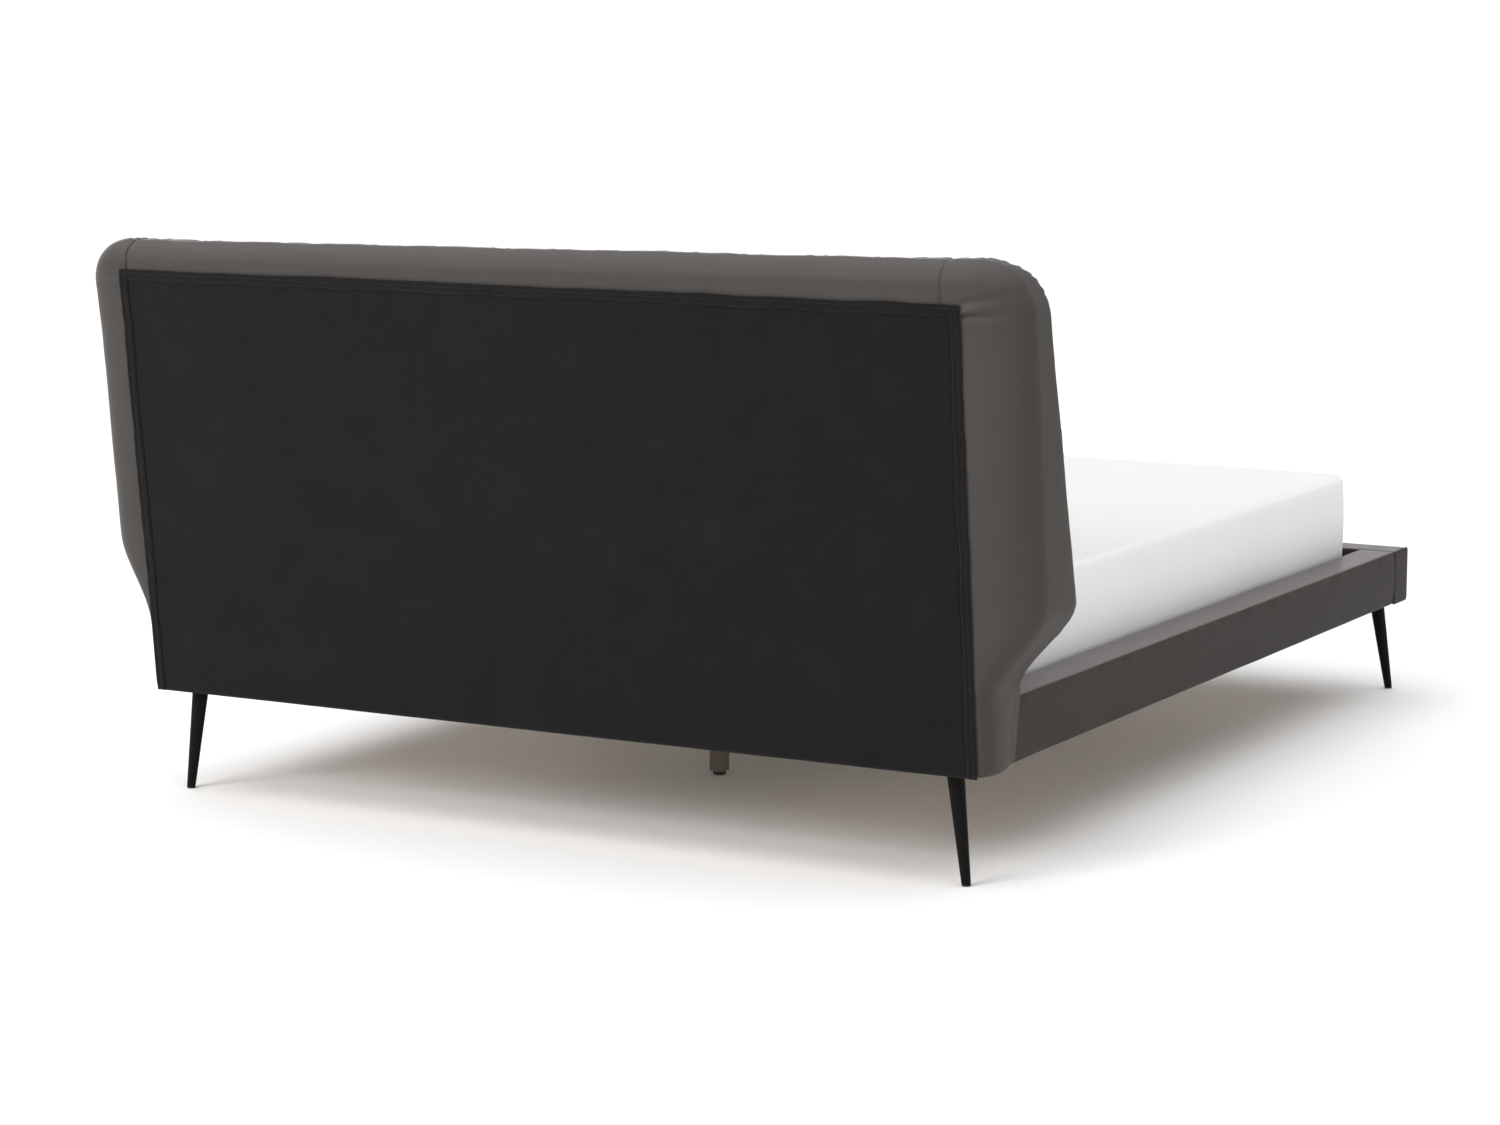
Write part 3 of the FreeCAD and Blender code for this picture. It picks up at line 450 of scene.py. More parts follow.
def leather(name, color, top_light=1.0, start=0.72, gloss=0.05):
    """Coated leather; its top-light factor lightens the faces that look up, with a cool tint: painted top
    light and a painted sky reflection.
    """
    finish = Finish(name, color, 0.36)
    top_lit_color = tuple(channel * top_light * cool for channel, cool in zip(color, PAINTED_SKY_TINT))
    clouds = finish.mottle(5.5, 5, 0.62, (0.30, 0.96), (0.52, 1), (0.72, 1.04))
    finish.color(finish.paint_top_lighting(clouds, top_lit_color, start) if top_light != 1.0 else clouds)
    finish.rough(finish.noise(38, 4, 0.7), 0.32, 0.40)
    finish.bump(finish.cells(520), 0.00016, 0.4)
    finish.bump(finish.noise(1150, 3, 0.6), 0.00008, 0.3)
    finish.bump(finish.noise(30, 3, 0.5), 0.0005, 0.05)
    finish.set(specular_ior_level=gloss)
    return finish


def felt(name, color):
    finish = Finish(name, color, 0.95)
    fibres = finish.noise(700, 5, 0.75)
    finish.color(finish.mottle(9, 6, 0.7, (0.30, 0.78), (0.55, 1), (0.80, 1.45)))
    finish.rough(fibres, 0.86, 1.0)
    finish.bump(fibres, 0.0006, 0.8)
    finish.bump(finish.noise(60, 4, 0.7), 0.0012, 0.35)
    finish.set(sheen_weight=0.08, sheen_roughness=0.5, specular_ior_level=0.15)
    return finish


def ticking(name, color):
    finish = Finish(name, color, 0.9)
    border = finish.mottle(3.5, 4, 0.6, (0.3, 0.975), (0.7, 1))
    # The faces that look up are painted darker than the sides: painted shade that tones down the top's light.
    finish.color(finish.paint_top_lighting(border, tint(color, 0.88)))
    inputs = {"Vector": finish.place, "Scale": 210.0, "Distortion": 2.4, "Detail": 2.0}
    finish.bump(finish.add("ShaderNodeTexWave", inputs).outputs["Fac"], 0.0003, 0.35)
    finish.bump(finish.noise(420, 3, 0.6), 0.0003, 0.4)
    finish.set(sheen_weight=0.04, sheen_roughness=0.6, specular_ior_level=0.08)
    return finish


def wood(name, color, dark, grain=(26, 2.2, 60), rough=0.55):
    finish = Finish(name, color, rough)
    rings = finish.noise(1.0, 8, 0.62, finish.stretched(grain))
    finish.color(finish.ramp(rings, [(0.30, dark), (0.48, color), (0.70, tint(color, 1.12))]))
    finish.rough(rings, rough - 0.08, rough + 0.1)
    finish.bump(rings, 0.0004, 0.4)
    return finish


def powder_coat(name, color, rough, gloss=0.4):
    finish = Finish(name, color, rough)
    grain = finish.noise(900, 2, 0.5)
    finish.color(finish.mottle(14, 4, 0.6, (0.3, 0.88), (0.7, 1.1)))
    finish.rough(grain, rough - 0.07, rough + 0.09, 0.35, 0.65)
    finish.bump(grain, 0.00012, 0.5)
    finish.set(specular_ior_level=gloss)
    return finish


def plastic(name, color):
    finish = Finish(name, color, 0.5)
    finish.color(finish.mottle(30, 3, 0.5, (0.3, 0.9), (0.7, 1.12)))
    finish.rough(finish.noise(300, 3, 0.6), 0.42, 0.6)
    finish.bump(finish.cells(1400, "F1"), 0.00008, 0.4)
    return finish


def steel(name, color):
    finish = Finish(name, color, 0.32, 1.0)
    finish.rough(finish.noise(220, 4, 0.7), 0.24, 0.48)
    finish.color(finish.mottle(70, 4, 0.6, (0.3, 0.8), (0.7, 1)))
    finish.bump(finish.noise(600, 3, 0.6), 0.00006, 0.4)
    return finish


def foam(name, color):
    finish = Finish(name, color, 0.95)
    finish.color(finish.mottle(24, 4, 0.6, (0.3, 0.9), (0.7, 1)))
    finish.bump(finish.cells(600, "F1"), 0.0006, 0.8)
    return finish


FINISHES = (
    # The headboard's leather carries painted top light on its upward faces.
    leather("grey_leather", LEATHER, 1.5, 0.0, 0.028),
    # The rails' leather is a darker copy with a much lighter top: painted shade on its sides and painted
    # light on its top.
    leather("rail_leather_painted_light", tint(LEATHER, 0.80), 3.4, gloss=0.012),
    # The piping is painted half again lighter than the leather: a painted highlight along its bead.
    leather("leather_piping_painted_highlight", tint(LEATHER, 1.5)),
    felt("black_felt", (0.0064, 0.0060, 0.0062)),
    ticking("mattress_ticking", (0.845, 0.845, 0.848)),
    foam("foam", (0.72, 0.68, 0.55)),
    wood("plywood", (0.52, 0.36, 0.20), (0.36, 0.23, 0.12), (3, 40, 3)),
    wood("pine", (0.56, 0.38, 0.20), (0.40, 0.24, 0.11)),
    wood("birch_slat", (0.62, 0.44, 0.25), (0.48, 0.31, 0.16), (2.5, 60, 40), 0.4),
    plastic("black_plastic", (0.018, 0.018, 0.018)),
    powder_coat("black_metal", (0.0075, 0.0072, 0.0070), 0.5, 0.05),
    powder_coat("taupe_metal", (0.155, 0.128, 0.098), 0.5),
    powder_coat("dark_steel", (0.03, 0.03, 0.032), 0.42),
    steel("zinc_steel", (0.55, 0.55, 0.53)),
    plastic("grey_thread", (0.05, 0.047, 0.045)),
    plastic("black_thread", (0.012, 0.012, 0.012)),
)
MATERIALS = {finish.name: finish.material for finish in FINISHES}


def dress(thing, slot, body="root", replaces=(), material=None):
    thing.data.materials.clear()
    thing.data.materials.append(MATERIALS[material or slot])
    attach(thing, body)
    if replaces:
        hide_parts(*replaces)
    return thing


# ---- stitching ----

LEATHER_STITCH = ("grey_leather", "grey_thread", 0.0045, 0.0025, 0.0006)
CHANNEL_STITCH = ("grey_leather", "grey_thread", 0.006, 0.003, 0.0006)
FELT_STITCH = ("black_felt", "black_thread", 0.005, 0.0022, 0.0005)
THREAD_SIDES = 6


def stitches(name, places, slot, material, length, gap, radius):
    """Short sewn stitches along a line of (place, outward) pairs."""
    verts, faces, run, travelled = [], [], 0.0, [0.0]
    for (a, _), (b, _) in zip(places, places[1:]):
        travelled.append(travelled[-1] + (b - a).length)

    def at(distance):
        index = max(1, min(np.searchsorted(travelled, distance), len(places) - 1))
        span = travelled[index] - travelled[index - 1]
        share = (distance - travelled[index - 1]) / span if span else 0
        place = places[index - 1][0].lerp(places[index][0], share)
        return place, places[index][1]
    while run + length < travelled[-1]:
        a, out = at(run)
        b, _ = at(run + length)
        middle = (a + b) / 2 + out * radius * 0.8
        way = (b - a).normalized()
        side = way.cross(out).normalized()
        base = len(verts)
        rise = out * radius
        for spot, wide in ((a - rise, 0.4), (a.lerp(middle, 0.5) + rise * 0.5, 1), (middle, 1.1),
                           (b.lerp(middle, 0.5) + rise * 0.5, 1), (b - rise, 0.4)):
            verts += ring_round(spot, side, out, radius * wide, THREAD_SIDES)
        faces += [tuple(base + k for k in face) for face in ring_faces(5, THREAD_SIDES)]
        run += length + gap
    dress(mesh_object(name, verts, faces), slot, material=material)


# ---- headboard upholstery ----

def pinch(distance, depth, width):
    return -depth * np.exp(-abs(distance) / width)


def wing_stitch(section, side):
    """The sewn line a little behind the wing's front edge."""
    run = section.back - section.heel - section.tip - section.nose
    x, y = section.point("side", WING_STITCH / run)
    return Vector((side * x, y, section.z))


def seam_points():
    """Points along every seam of the headboard's cover."""
    points = []
    for z in LEVELS:
        section = Section(z)
        for side in (1, -1):
            x, y = section.point("nose", 0.75)
            points.append(Vector((side * x, y, z)))
            if z > DUST_TOP - 0.03:
                points.append(Vector((side * SEAM_X[side], section.back, z)))
            if z < RAIL_TOP + 0.02:
                points.append(wing_stitch(section, side))
    reach = TOP.half - TOP.nose
    for x in spread(-reach, reach, 400):
        points.append(Vector((x, TOP.face + 0.001 if abs(x) < CHANNEL_EDGE else TOP.tip, HEAD_TOP)))
    for y in spread(TOP.face, TOP.back, 8):
        for side in (1, -1):
            points.append(Vector((side * SEAM_X[side], y, HEAD_TOP)))
    return points


def channel_depth(place):
    """How deep the front's stitched channels lie at a place."""
    off = seam_gap(place.x)
    return -0.008 * np.exp(-off / 0.008) - 0.005 * np.exp(-(off / 0.034) ** 2)


CORNER_FOLDS = {-1: ((-0.024, 0.0034, 0.0072), (-0.003, 0.0036, 0.0080), (0.019, 0.0032, 0.0048)),
                1: ((-0.010, 0.0036, 0.0036), (0.012, 0.0030, 0.0028))}


def edge_gathers(place, distance):
    """Small gathers where the front panel is eased round the headboard's upper corners."""
    turn = atan2(place.z - (HEAD_TOP - CORNER), abs(place.x) - (HEAD_HALF - CORNER))
    if turn < 0.15 or place.z < HEAD_TOP - CORNER or distance > 0.06:
        return 0.0
    fade = np.exp(-(distance / 0.022) ** 2) * smooth((turn - 0.15) / 0.3) * smooth((2.0 - turn) / 0.3)
    return 0.0009 * fade * (sin(turn * 31 + place.x) + 0.5 * sin(turn * 53 + 1.2))


def corner_folds(place):
    """Gathers in the leather that fan out from the dust cover's upper corners."""
    side = 1 if place.x > 0 else -1
    x, z = abs(place.x) - DUST_HALF + 0.004, place.z - DUST_TOP + 0.024
    depth = back_at(place.z) - place.y
    if abs(place.x) < DUST_HALF - 0.001 and place.z < DUST_TOP - 0.001:
        return 0.0
    along, rise = x + depth * 0.9, z + 0.10 * max(0.0, x)
    if along < 0 or along > 0.12 or depth > 0.12:
        return 0.0
    fade = smooth(along / 0.008) * np.exp(-(along / 0.074) ** 2)
    lift = 0.0
    for low, wide, deep in CORNER_FOLDS[side]:
        spot = (rise - low - along * (low * 3.0 + 0.12)) / (wide * (1 + along * 12))
        lift -= deep * np.exp(-spot ** 2) - 0.5 * deep * np.exp(-(spot - 1.9) ** 2)
    return fade * lift


def settle_crest(thing):
    """The padded crest sits a little higher at one end than at the other."""
    start, full, reach = 0.97, HEAD_TOP - 0.02, 0.85
    for vertex in thing.data.vertices:
        share = smooth((vertex.co.z - start) / (full - start))
        vertex.co.z -= CREST_TILT * share * max(-1, min(1, vertex.co.x / reach))
    thing.data.update()


def head_surface(place, seams, normal):
    lift = 0.0
    front = place.y < (back_at(place.z) + face_at(place.z)) / 2
    if normal.y < -0.15 and front:
        lift += channel_depth(place) * smooth((-normal.y - 0.1) * 2.2)
    _, _, distance = seams.find(place)
    lift += pinch(distance, 0.0026, 0.0042)
    if place.z > HEAD_TOP - 0.012:
        gap = hypot(seam_gap(place.x), max(0.0, place.y - face_at(place.z) - CREST) * 0.7)
        lift -= 0.0050 * np.exp(-(gap / 0.008) ** 2)
        lift += 0.0012 * ripple(place, 22, 1.7)
    lift += corner_folds(place) + edge_gathers(place, distance)
    lift += 0.0010 * ripple(place, 7, 5.3) + 0.0004 * ripple(place, 26, 8.1)
    return lift


CLOTH_STEPS = 20
CLOTH = {"vertex_group_mass": "sewn", "quality": 6, "mass": 0.6, "tension_stiffness": 20,
         "compression_stiffness": 20, "shear_stiffness": 12, "bending_stiffness": 1.2, "shrink_min": -0.02,
         "use_pressure": True, "uniform_pressure_force": 3.0}


def inflate(thing, pinned, cap):
    """Blows a sewn leather panel up against its stitching with a cloth simulation, by cap at most."""
    start = [vertex.co.copy() for vertex in thing.data.vertices]
    group = thing.vertex_groups.new(name="sewn")
    group.add(pinned, 1.0, "REPLACE")
    modifier = thing.modifiers.new("cloth", "CLOTH")
    for name, value in CLOTH.items():
        setattr(modifier.settings, name, value)
    modifier.settings.effector_weights.gravity = 0
    modifier.point_cache.frame_start, modifier.point_cache.frame_end = 1, CLOTH_STEPS
    for step in range(1, CLOTH_STEPS + 1):
        bpy.context.scene.frame_set(step)
    apply_modifiers(thing)
    bpy.context.scene.frame_set(1)
    for vertex, origin in zip(thing.data.vertices, start):
        move = vertex.co - origin
        most = cap if abs(origin.x) < OUTER_SEAM else cap * 0.3
        if move.length > most:
            vertex.co = origin + move.normalized() * most
    thing.vertex_groups.clear()
    thing.data.update()


def sewn_points(thing):
    """Vertices of the front panel that its border and channel seams hold."""
    bm = bmesh.new()
    bm.from_mesh(thing.data)
    held = [vertex.index for vertex in bm.verts if vertex.is_boundary or seam_gap(vertex.co.x) < 0.0014]
    bm.free()
    return held


def sew_headboard(tree):
    """Stitches and piping on the finished leather, found from the nominal seam lines."""
    def laid(points):
        hits = [tree.find_nearest(point) for point in points]
        return [(place, normal) for place, normal, _, _ in hits]

    for side, name in SIDES:
        seam = side * (SEAM_X[side] + 0.0024)
        band = [Vector((seam, Section(z).back, z)) for z in spread(DUST_TOP + 0.004, HEAD_TOP, 24)]
        band += [Vector((seam, y, HEAD_TOP)) for y in spread(TOP.back, TOP.face, 8)[1:6]]
        stitches(f"top_band_stitches_{name}", laid(band), *LEATHER_STITCH)
        low = [wing_stitch(Section(z), side) + Vector((0, 0.0025, 0))
               for z in spread(HEAD_FOOT + 0.012, RAIL_TOP + 0.012, 16)]
        stitches(f"wing_stitches_{name}", laid(low), *LEATHER_STITCH)
        edge = []
        for z in spread(HEAD_FOOT + 0.008, RAIL_TOP + 0.016, 24):
            x, y = Section(z).point("nose", 0.72)
            edge.append(Vector((side * x, y, z)))
        line = [place + normal * 0.0006 for place, normal in laid(edge)]
        piping = tube(f"wing_piping_{name}", line, 0.0022)
        clean(piping)
        # The piping's lighter leather is a painted highlight.
        dress(piping, "grey_leather", material="leather_piping_painted_highlight")
    for index, seam in enumerate(CHANNEL_SEAMS):
        for side, name in SIDES:
            column = []
            for z in spread(RAIL_TOP + 0.05, HEAD_TOP - 0.035, 60):
                section = Section(z)
                y = section.face if seam <= CHANNEL_EDGE else section.point("sweep", 0.5)[1]
                column.append(Vector((side * seam, y, z)))
            stitches(f"channel_stitches_{name}_{index + 1}", laid(column), *CHANNEL_STITCH)


PANELS = {"front": ("headboard_front_pad", 0.010, ("head_front_pad", "head_foam")),
          "side_left": ("headboard_side_wrap_left", 0.004, ("head_side_wrap_left",)),
          "side_right": ("headboard_side_wrap_right", 0.004, ("head_side_wrap_right",)),
          "top": ("headboard_top_band", 0.004, ("head_top_band",))}


def panel_at(row, column, place, side):
    """The cover panel that a face belongs to, or None behind the dust cover."""
    zone, t = COLUMNS[column]
    inside_cap = row >= len(LEVELS) + len(UNDER_INSETS) - 1
    if COLUMNS[column + 1][0] == "back":
        if zone == "back" and not inside_cap and place.z < DUST_TOP - 0.022 and t < DUST_HALF - 0.018:
            return None
        inboard = place.x <= SEAM_X[side] + 1e-4 and row >= len(UNDER_INSETS) and place.z > DUST_TOP - 0.03
        kind = "top" if inboard else "side"
    elif zone in ("side", "heel") or (zone == "nose" and t >= 0.72):
        kind = "side"
    elif inside_cap:
        kind = "top" if place.x <= SEAM_X[side] - 1e-4 else "side"
    else:
        kind = "front"
    return kind if kind != "side" else "side_left" if side > 0 else "side_right"


def headboard_form():
    """The whole outer form as one mesh, each face tagged with its panel."""
    rows, columns = head_grid(), len(COLUMNS)
    verts, faces, kinds = [], [], []
    for side in (1, -1):
        base = len(verts)
        for row in rows:
            verts += [Vector((side * p.x, p.y, p.z)) for p in row]
        for r in range(len(rows) - 1):
            for c in range(columns - 1):
                panel = panel_at(r, c, rows[r][c], side)
                if panel:
                    corner = base + r * columns + c
                    quad = [corner, corner + 1, corner + columns + 1, corner + columns]
                    faces.append(quad if side > 0 else quad[::-1])
                    kinds.append(panel)
    whole = mesh_object("headboard_whole", verts, faces)
    tags = whole.data.attributes.new("kind", "INT", "FACE")
    tags.data.foreach_set("value", [list(PANELS).index(kind) for kind in kinds])
    clean(whole)
    middle = Vector((0, 1.05, 0.65))
    face_outward(whole, lambda face: face.normal.dot(face.center - middle))
    return whole


def cut_panel(whole, index, name):
    """A copy of the headboard's form with one panel's faces only."""
    copy = whole.copy()
    copy.data = whole.data.copy()
    copy.name = name
    bpy.context.scene.collection.objects.link(copy)
    bm = bmesh.new()
    bm.from_mesh(copy.data)
    layer = bm.faces.layers.int["kind"]
    bmesh.ops.delete(bm, geom=[f for f in bm.faces if f[layer] != index], context="FACES")
    bm.to_mesh(copy.data)
    bm.free()
    copy.data.attributes.remove(copy.data.attributes["kind"])
    return copy


def make_headboard():
    whole = headboard_form()
    points = seam_points()
    seams = kdtree.KDTree(len(points))
    for index, point in enumerate(points):
        seams.insert(point, index)
    seams.balance()
    displace(whole, lambda place, normal: head_surface(place, seams, normal))
    settle_crest(whole)
    sew_headboard(BVHTree.FromPolygons([v.co.copy() for v in whole.data.vertices],
                                       [tuple(p.vertices) for p in whole.data.polygons]))
    pieces = [cut_panel(whole, index, PANELS[kind][0]) for index, kind in enumerate(PANELS)]
    bpy.data.objects.remove(whole)
    for piece, (kind, (_, depth, replaced)) in zip(pieces, PANELS.items()):
        if kind == "front":
            inflate(piece, sewn_points(piece), 0.007)
        thicken(piece, depth)
        dress(piece, "grey_leather", replaces=replaced)


# ---- dust cover ----

HEM, HEM_STITCH = 0.019, 0.0082
DUST_TALL = (DUST_TOP - HEAD_FOOT) / cos(LEAN) - 0.003
# Distances from the cover's edge, close together where its hem is folded and sewn.
HEM_STEPS = [0, 0.001, 0.003, 0.005, 0.0065, 0.008, 0.0095, 0.0115, 0.0135, 0.015, 0.0165, 0.018, 0.0195,
             0.021, 0.0225, 0.0245, 0.028, 0.034, 0.042]


def dust_place(x, rise, lift):
    """A point on the headboard's back: across, up the slope from its foot, and proud of it."""
    z = HEAD_FOOT + rise * cos(LEAN) - lift * sin(LEAN)
    return Vector((x, HEAD_BASE + rise * sin(LEAN) + lift * cos(LEAN), z))


def hem_lift(from_edge, spot, corner):
    """Height of the folded hem over the sheet: a doubled band with two sewn lines."""
    width = HEM + 0.0028 * ripple(spot, 11, 3.7) + 0.0012 * ripple(spot, 43, 1.9)
    hem = smooth((width - from_edge) / 0.0022 + 0.5)
    pucker = 0.0008 * ripple(spot, 55, 1.3) + 0.0006 * ripple(spot, 140, 6.6)
    lift = hem * (0.0022 + pucker + corner * 0.0016 * ripple(spot, 70, 8.8))
    lift -= 0.0012 * np.exp(-((from_edge - HEM_STITCH) / 0.0015) ** 2)
    return lift - 0.0011 * np.exp(-((from_edge - width - 0.0016) / 0.0016) ** 2), hem


def dust_point(x, rise):
    """Where a point of the flat cover comes to lie: hemmed, pulled at its edges and slightly slack."""
    side, top = DUST_HALF - abs(x), DUST_TALL - rise
    from_edge = min(side, top)
    spot = Vector((x, rise, 0))
    sewn, hem = hem_lift(from_edge, spot, smooth(1 - hypot(side, top) / 0.07))
    slack = 0.0009 * ripple(spot, 4, 2.1) + 0.0005 * ripple(spot, 13, 9.4)
    pull = Vector((x, rise * 0.2, 0)) if side > top else Vector((x * 0.2, rise, 0))
    strain = 0.0012 * smooth((0.11 - from_edge) / 0.11) * ripple(pull, 40, 3.3)
    lift = 0.0022 + sewn + (1 - hem) * (slack * smooth(from_edge / 0.08) + strain)
    along, across = Vector((0, rise, x / 9)), Vector((x, 0, 0))
    shift_x = smooth(1 - side / 0.06) * (0.0022 * ripple(along, 9, 4) + 0.0012 * ripple(along, 31, 2))
    shift_y = smooth(1 - top / 0.06) * (0.0024 * ripple(across, 8, 4.4) + 0.0012 * ripple(across, 28, 7.2))
    return dust_place(x + shift_x, rise + shift_y, max(lift, 0.0008))


def make_dust_cover():
    half, tall, steps = DUST_HALF, DUST_TALL, HEM_STEPS[::-1]
    xs = [-half + e for e in HEM_STEPS] + spread(-half + 0.05, half - 0.05, 250) + [half - e for e in steps]
    ys = spread(0, tall - 0.05, 130) + [tall - e for e in steps]
    cover = mesh_object("dust_cover_sheet", [dust_point(x, rise) for rise in ys for x in xs],
                        grid_faces(len(ys), len(xs)))
    clean(cover)
    face_outward(cover, lambda face: face.normal.y)
    thicken(cover, 0.0012)
    dress(cover, "black_felt", replaces=("dust_cover",))
    back = Vector((0, cos(LEAN), -sin(LEAN)))
    reach = half - HEM_STITCH
    lines = {name: [(side * reach, rise) for rise in spread(0.004, tall - HEM_STITCH, 60)]
             for side, name in SIDES}
    lines["top"] = [(x, tall - HEM_STITCH) for x in spread(-reach, reach, 90)]
    for name, line in lines.items():
        places = [(dust_place(x, rise, 0.0036), back) for x, rise in line]
        stitches(f"dust_cover_stitches_{name}", places, *FELT_STITCH)


# ---- padded rails ----

LIP = SLATS_LOW.z + 0.004
TURN = 0.008
TUCK_UNDER = 0.014
COVER_DEPTH = 0.0035


def rail_section(inside, outside, low, high, lip):
    """The cover's outline round a rail: up the inside, over the top, down outside and under."""
    def line(start, end, count):
        return [(start[0] + (end[0] - start[0]) * k / count, start[1] + (end[1] - start[1]) * k / count)
                for k in range(1, count + 1)]

    def arc(across, height, start, count):
        turns = [start - pi / 2 * k / count for k in range(1, count + 1)]
        return [(across + TURN * cos(turn), height + TURN * sin(turn)) for turn in turns]
    inner, outer, top, bottom = inside + TURN, outside - TURN, high - TURN, low + TURN
    return ([(inside, lip)] + line((inside, lip), (inside, top), 9) + arc(inner, top, pi, 8)
            + line((inner, high), (outer, high), 14) + arc(outer, top, pi / 2, 8)
            + line((outside, top), (outside, bottom), 18) + arc(outer, bottom, 0, 6)
            + line((outer, low), (inside + TUCK_UNDER, low), 7))


def rail_lift(place, normal, along, seed):
    """Softness of the leather over a rail: a crowned face and slight puckers along its edges."""
    height = (place.z - HEAD_FOOT) / (RAIL_TOP - HEAD_FOOT)
    upright = abs(normal.z) < 0.5
    lift = 0.0022 * sin(pi * max(0, min(1, height))) if upright else 0.0008
    lift += 0.0009 * noise.noise(Vector((along * 5.0 + seed, height * 1.5, seed)))
    edge = np.exp(-((height - 0.93) / 0.09) ** 2) * (1.0 if upright else 0.25)
    lift += 0.0022 * edge * noise.noise(Vector((along * 11 + seed, 3.1, seed)))
    lift += 0.0008 * edge * noise.noise(Vector((along * 30 + seed, 7.7, seed)))
    return lift - 0.0012


def cover_rail(name, replaced, section, stations, place, middle, axis, tuck, seed):
    """A rail's cover: its outline set at each station along an axis, drawn in where tuck(station) says."""
    verts = []
    for station in stations:
        for across, z in section:
            spot = place(station, across, z)
            off = spot - middle
            off[axis] = 0
            verts.append(spot - off.normalized() * tuck(station))
    cover = mesh_object(name, verts, grid_faces(len(stations), len(section)))
    clean(cover)

    def outward(face):
        off = face.center - middle
        off[axis] = 0
        return face.normal.dot(off)
    face_outward(cover, outward)
    displace(cover, lambda spot, normal: rail_lift(spot, normal, spot[axis], seed))
    thicken(cover, COVER_DEPTH)
    # The rails' leather has painted shade on its sides and painted light on its top.
    dress(cover, "grey_leather", replaces=(replaced,), material="rail_leather_painted_light")


def make_side_rails():
    section = rail_section(RAIL_LOW.x, RAIL_HIGH.x, HEAD_FOOT, RAIL_TOP, LIP)
    start, end = RAIL_LOW.y + 0.0002, HEAD_FACE + 0.030
    stations = [start, start + 0.0015, start + 0.004, start + 0.008] + spread(start + 0.015, end, 190)
    for side, name in SIDES:
        middle = Vector((side * (RAIL_LOW.x + RAIL_HIGH.x) / 2, 0, (HEAD_FOOT + RAIL_TOP) / 2))
        cover_rail(f"side_rail_upholstery_{name}", f"side_rail_cover_{name}", section, stations,
                   lambda y, x, z: Vector((side * x, y, z)), middle, 1,
                   lambda y: 0.0022 * np.exp(-(y - start) / 0.003), 2.0 + side)


def make_foot_rail():
    """The foot rail's cover: a long wrap, with a sewn cap and its piping on each end."""
    middle = Vector((0, (FOOT_LOW.y + FOOT_HIGH.y) / 2, (HEAD_FOOT + RAIL_TOP) / 2))
    section = rail_section(-FOOT_HIGH.y, -FOOT_LOW.y, HEAD_FOOT, RAIL_TOP, LIP)
    end = FOOT_HIGH.x - 0.002
    edge = [0, 0.0012, 0.003, 0.0055, 0.009, 0.014]
    stations = [-end + e for e in edge] + spread(-end + 0.02, end - 0.02, 170) + [end - e for e in edge[::-1]]
    cover_rail("foot_rail_upholstery", "foot_rail_cover", section, stations,
               lambda x, minus_y, z: Vector((x, -minus_y, z)), middle, 0,
               lambda x: 0.0028 * np.exp(-(end - abs(x)) / 0.003), 6.0)

    outline = [Vector((0, -minus_y, z)) for minus_y, z in
               rail_section(-FOOT_HIGH.y, -FOOT_LOW.y, HEAD_FOOT, RAIL_TOP, HEAD_FOOT)]
    rings = [(1.0, -0.006), (1.0, -0.002), (0.985, 0.0005), (0.95, 0.0016), (0.85, 0.0022), (0.6, 0.0026),
             (0.3, 0.0027), (0.05, 0.0027)]
    for side, name in SIDES:
        def ring(scale, out):
            return [middle + (spot - middle) * scale + Vector((side * (end + out), 0, 0)) for spot in outline]
        verts = [spot for scale, out in rings for spot in ring(scale * 0.975, out)]
        cap = mesh_object(f"foot_rail_end_{name}", verts,
                          ring_faces(len(rings), len(outline), start_open=True))
        clean(cap)
        face_outward(cap, lambda face: face.normal.x * side)
        thicken(cap, 0.003)
        # The end caps and their piping take the rails' leather, with its painted shade and painted light.
        dress(cap, "grey_leather", material="rail_leather_painted_light")
        piping = tube(f"foot_rail_piping_{name}", ring(0.985, 0.0006), 0.0014, closed=True)
        clean(piping)
        dress(piping, "grey_leather", material="rail_leather_painted_light")


# ---- mattress ----

MATTRESS_CORNER, MATTRESS_RIM, MATTRESS_BORDER = 0.073, 0.017, 0.045
UNDER_SCALES = (0.02, 0.15, 0.3, 0.45, 0.6, 0.75, 0.88)
OVER_SCALES = (0.93, 0.86, 0.78, 0.7, 0.62, 0.54, 0.46, 0.38, 0.3, 0.22, 0.14, 0.07, 0.02)
PLAN_STEP = 0.035


def rounded_plan(half_x, half_y, radius):
    """Points round a rectangle with rounded corners, about the origin."""
    arcs = []
    for quarter, (across, along) in enumerate(((1, 1), (-1, 1), (-1, -1), (1, -1))):
        centre = Vector((across * (half_x - radius), along * (half_y - radius), 0))
        angles = [pi / 2 * (quarter + k / 10) for k in range(11)]
        arcs.append([centre + Vector((cos(angle), sin(angle), 0)) * radius for angle in angles])
    points = []
    for arc, following in zip(arcs, arcs[1:] + arcs[:1]):
        points += arc
        start, end = arc[-1], following[0]
        count = max(2, round((end - start).length / PLAN_STEP))
        points += [start.lerp(end, k / count) for k in range(1, count)]
    return points


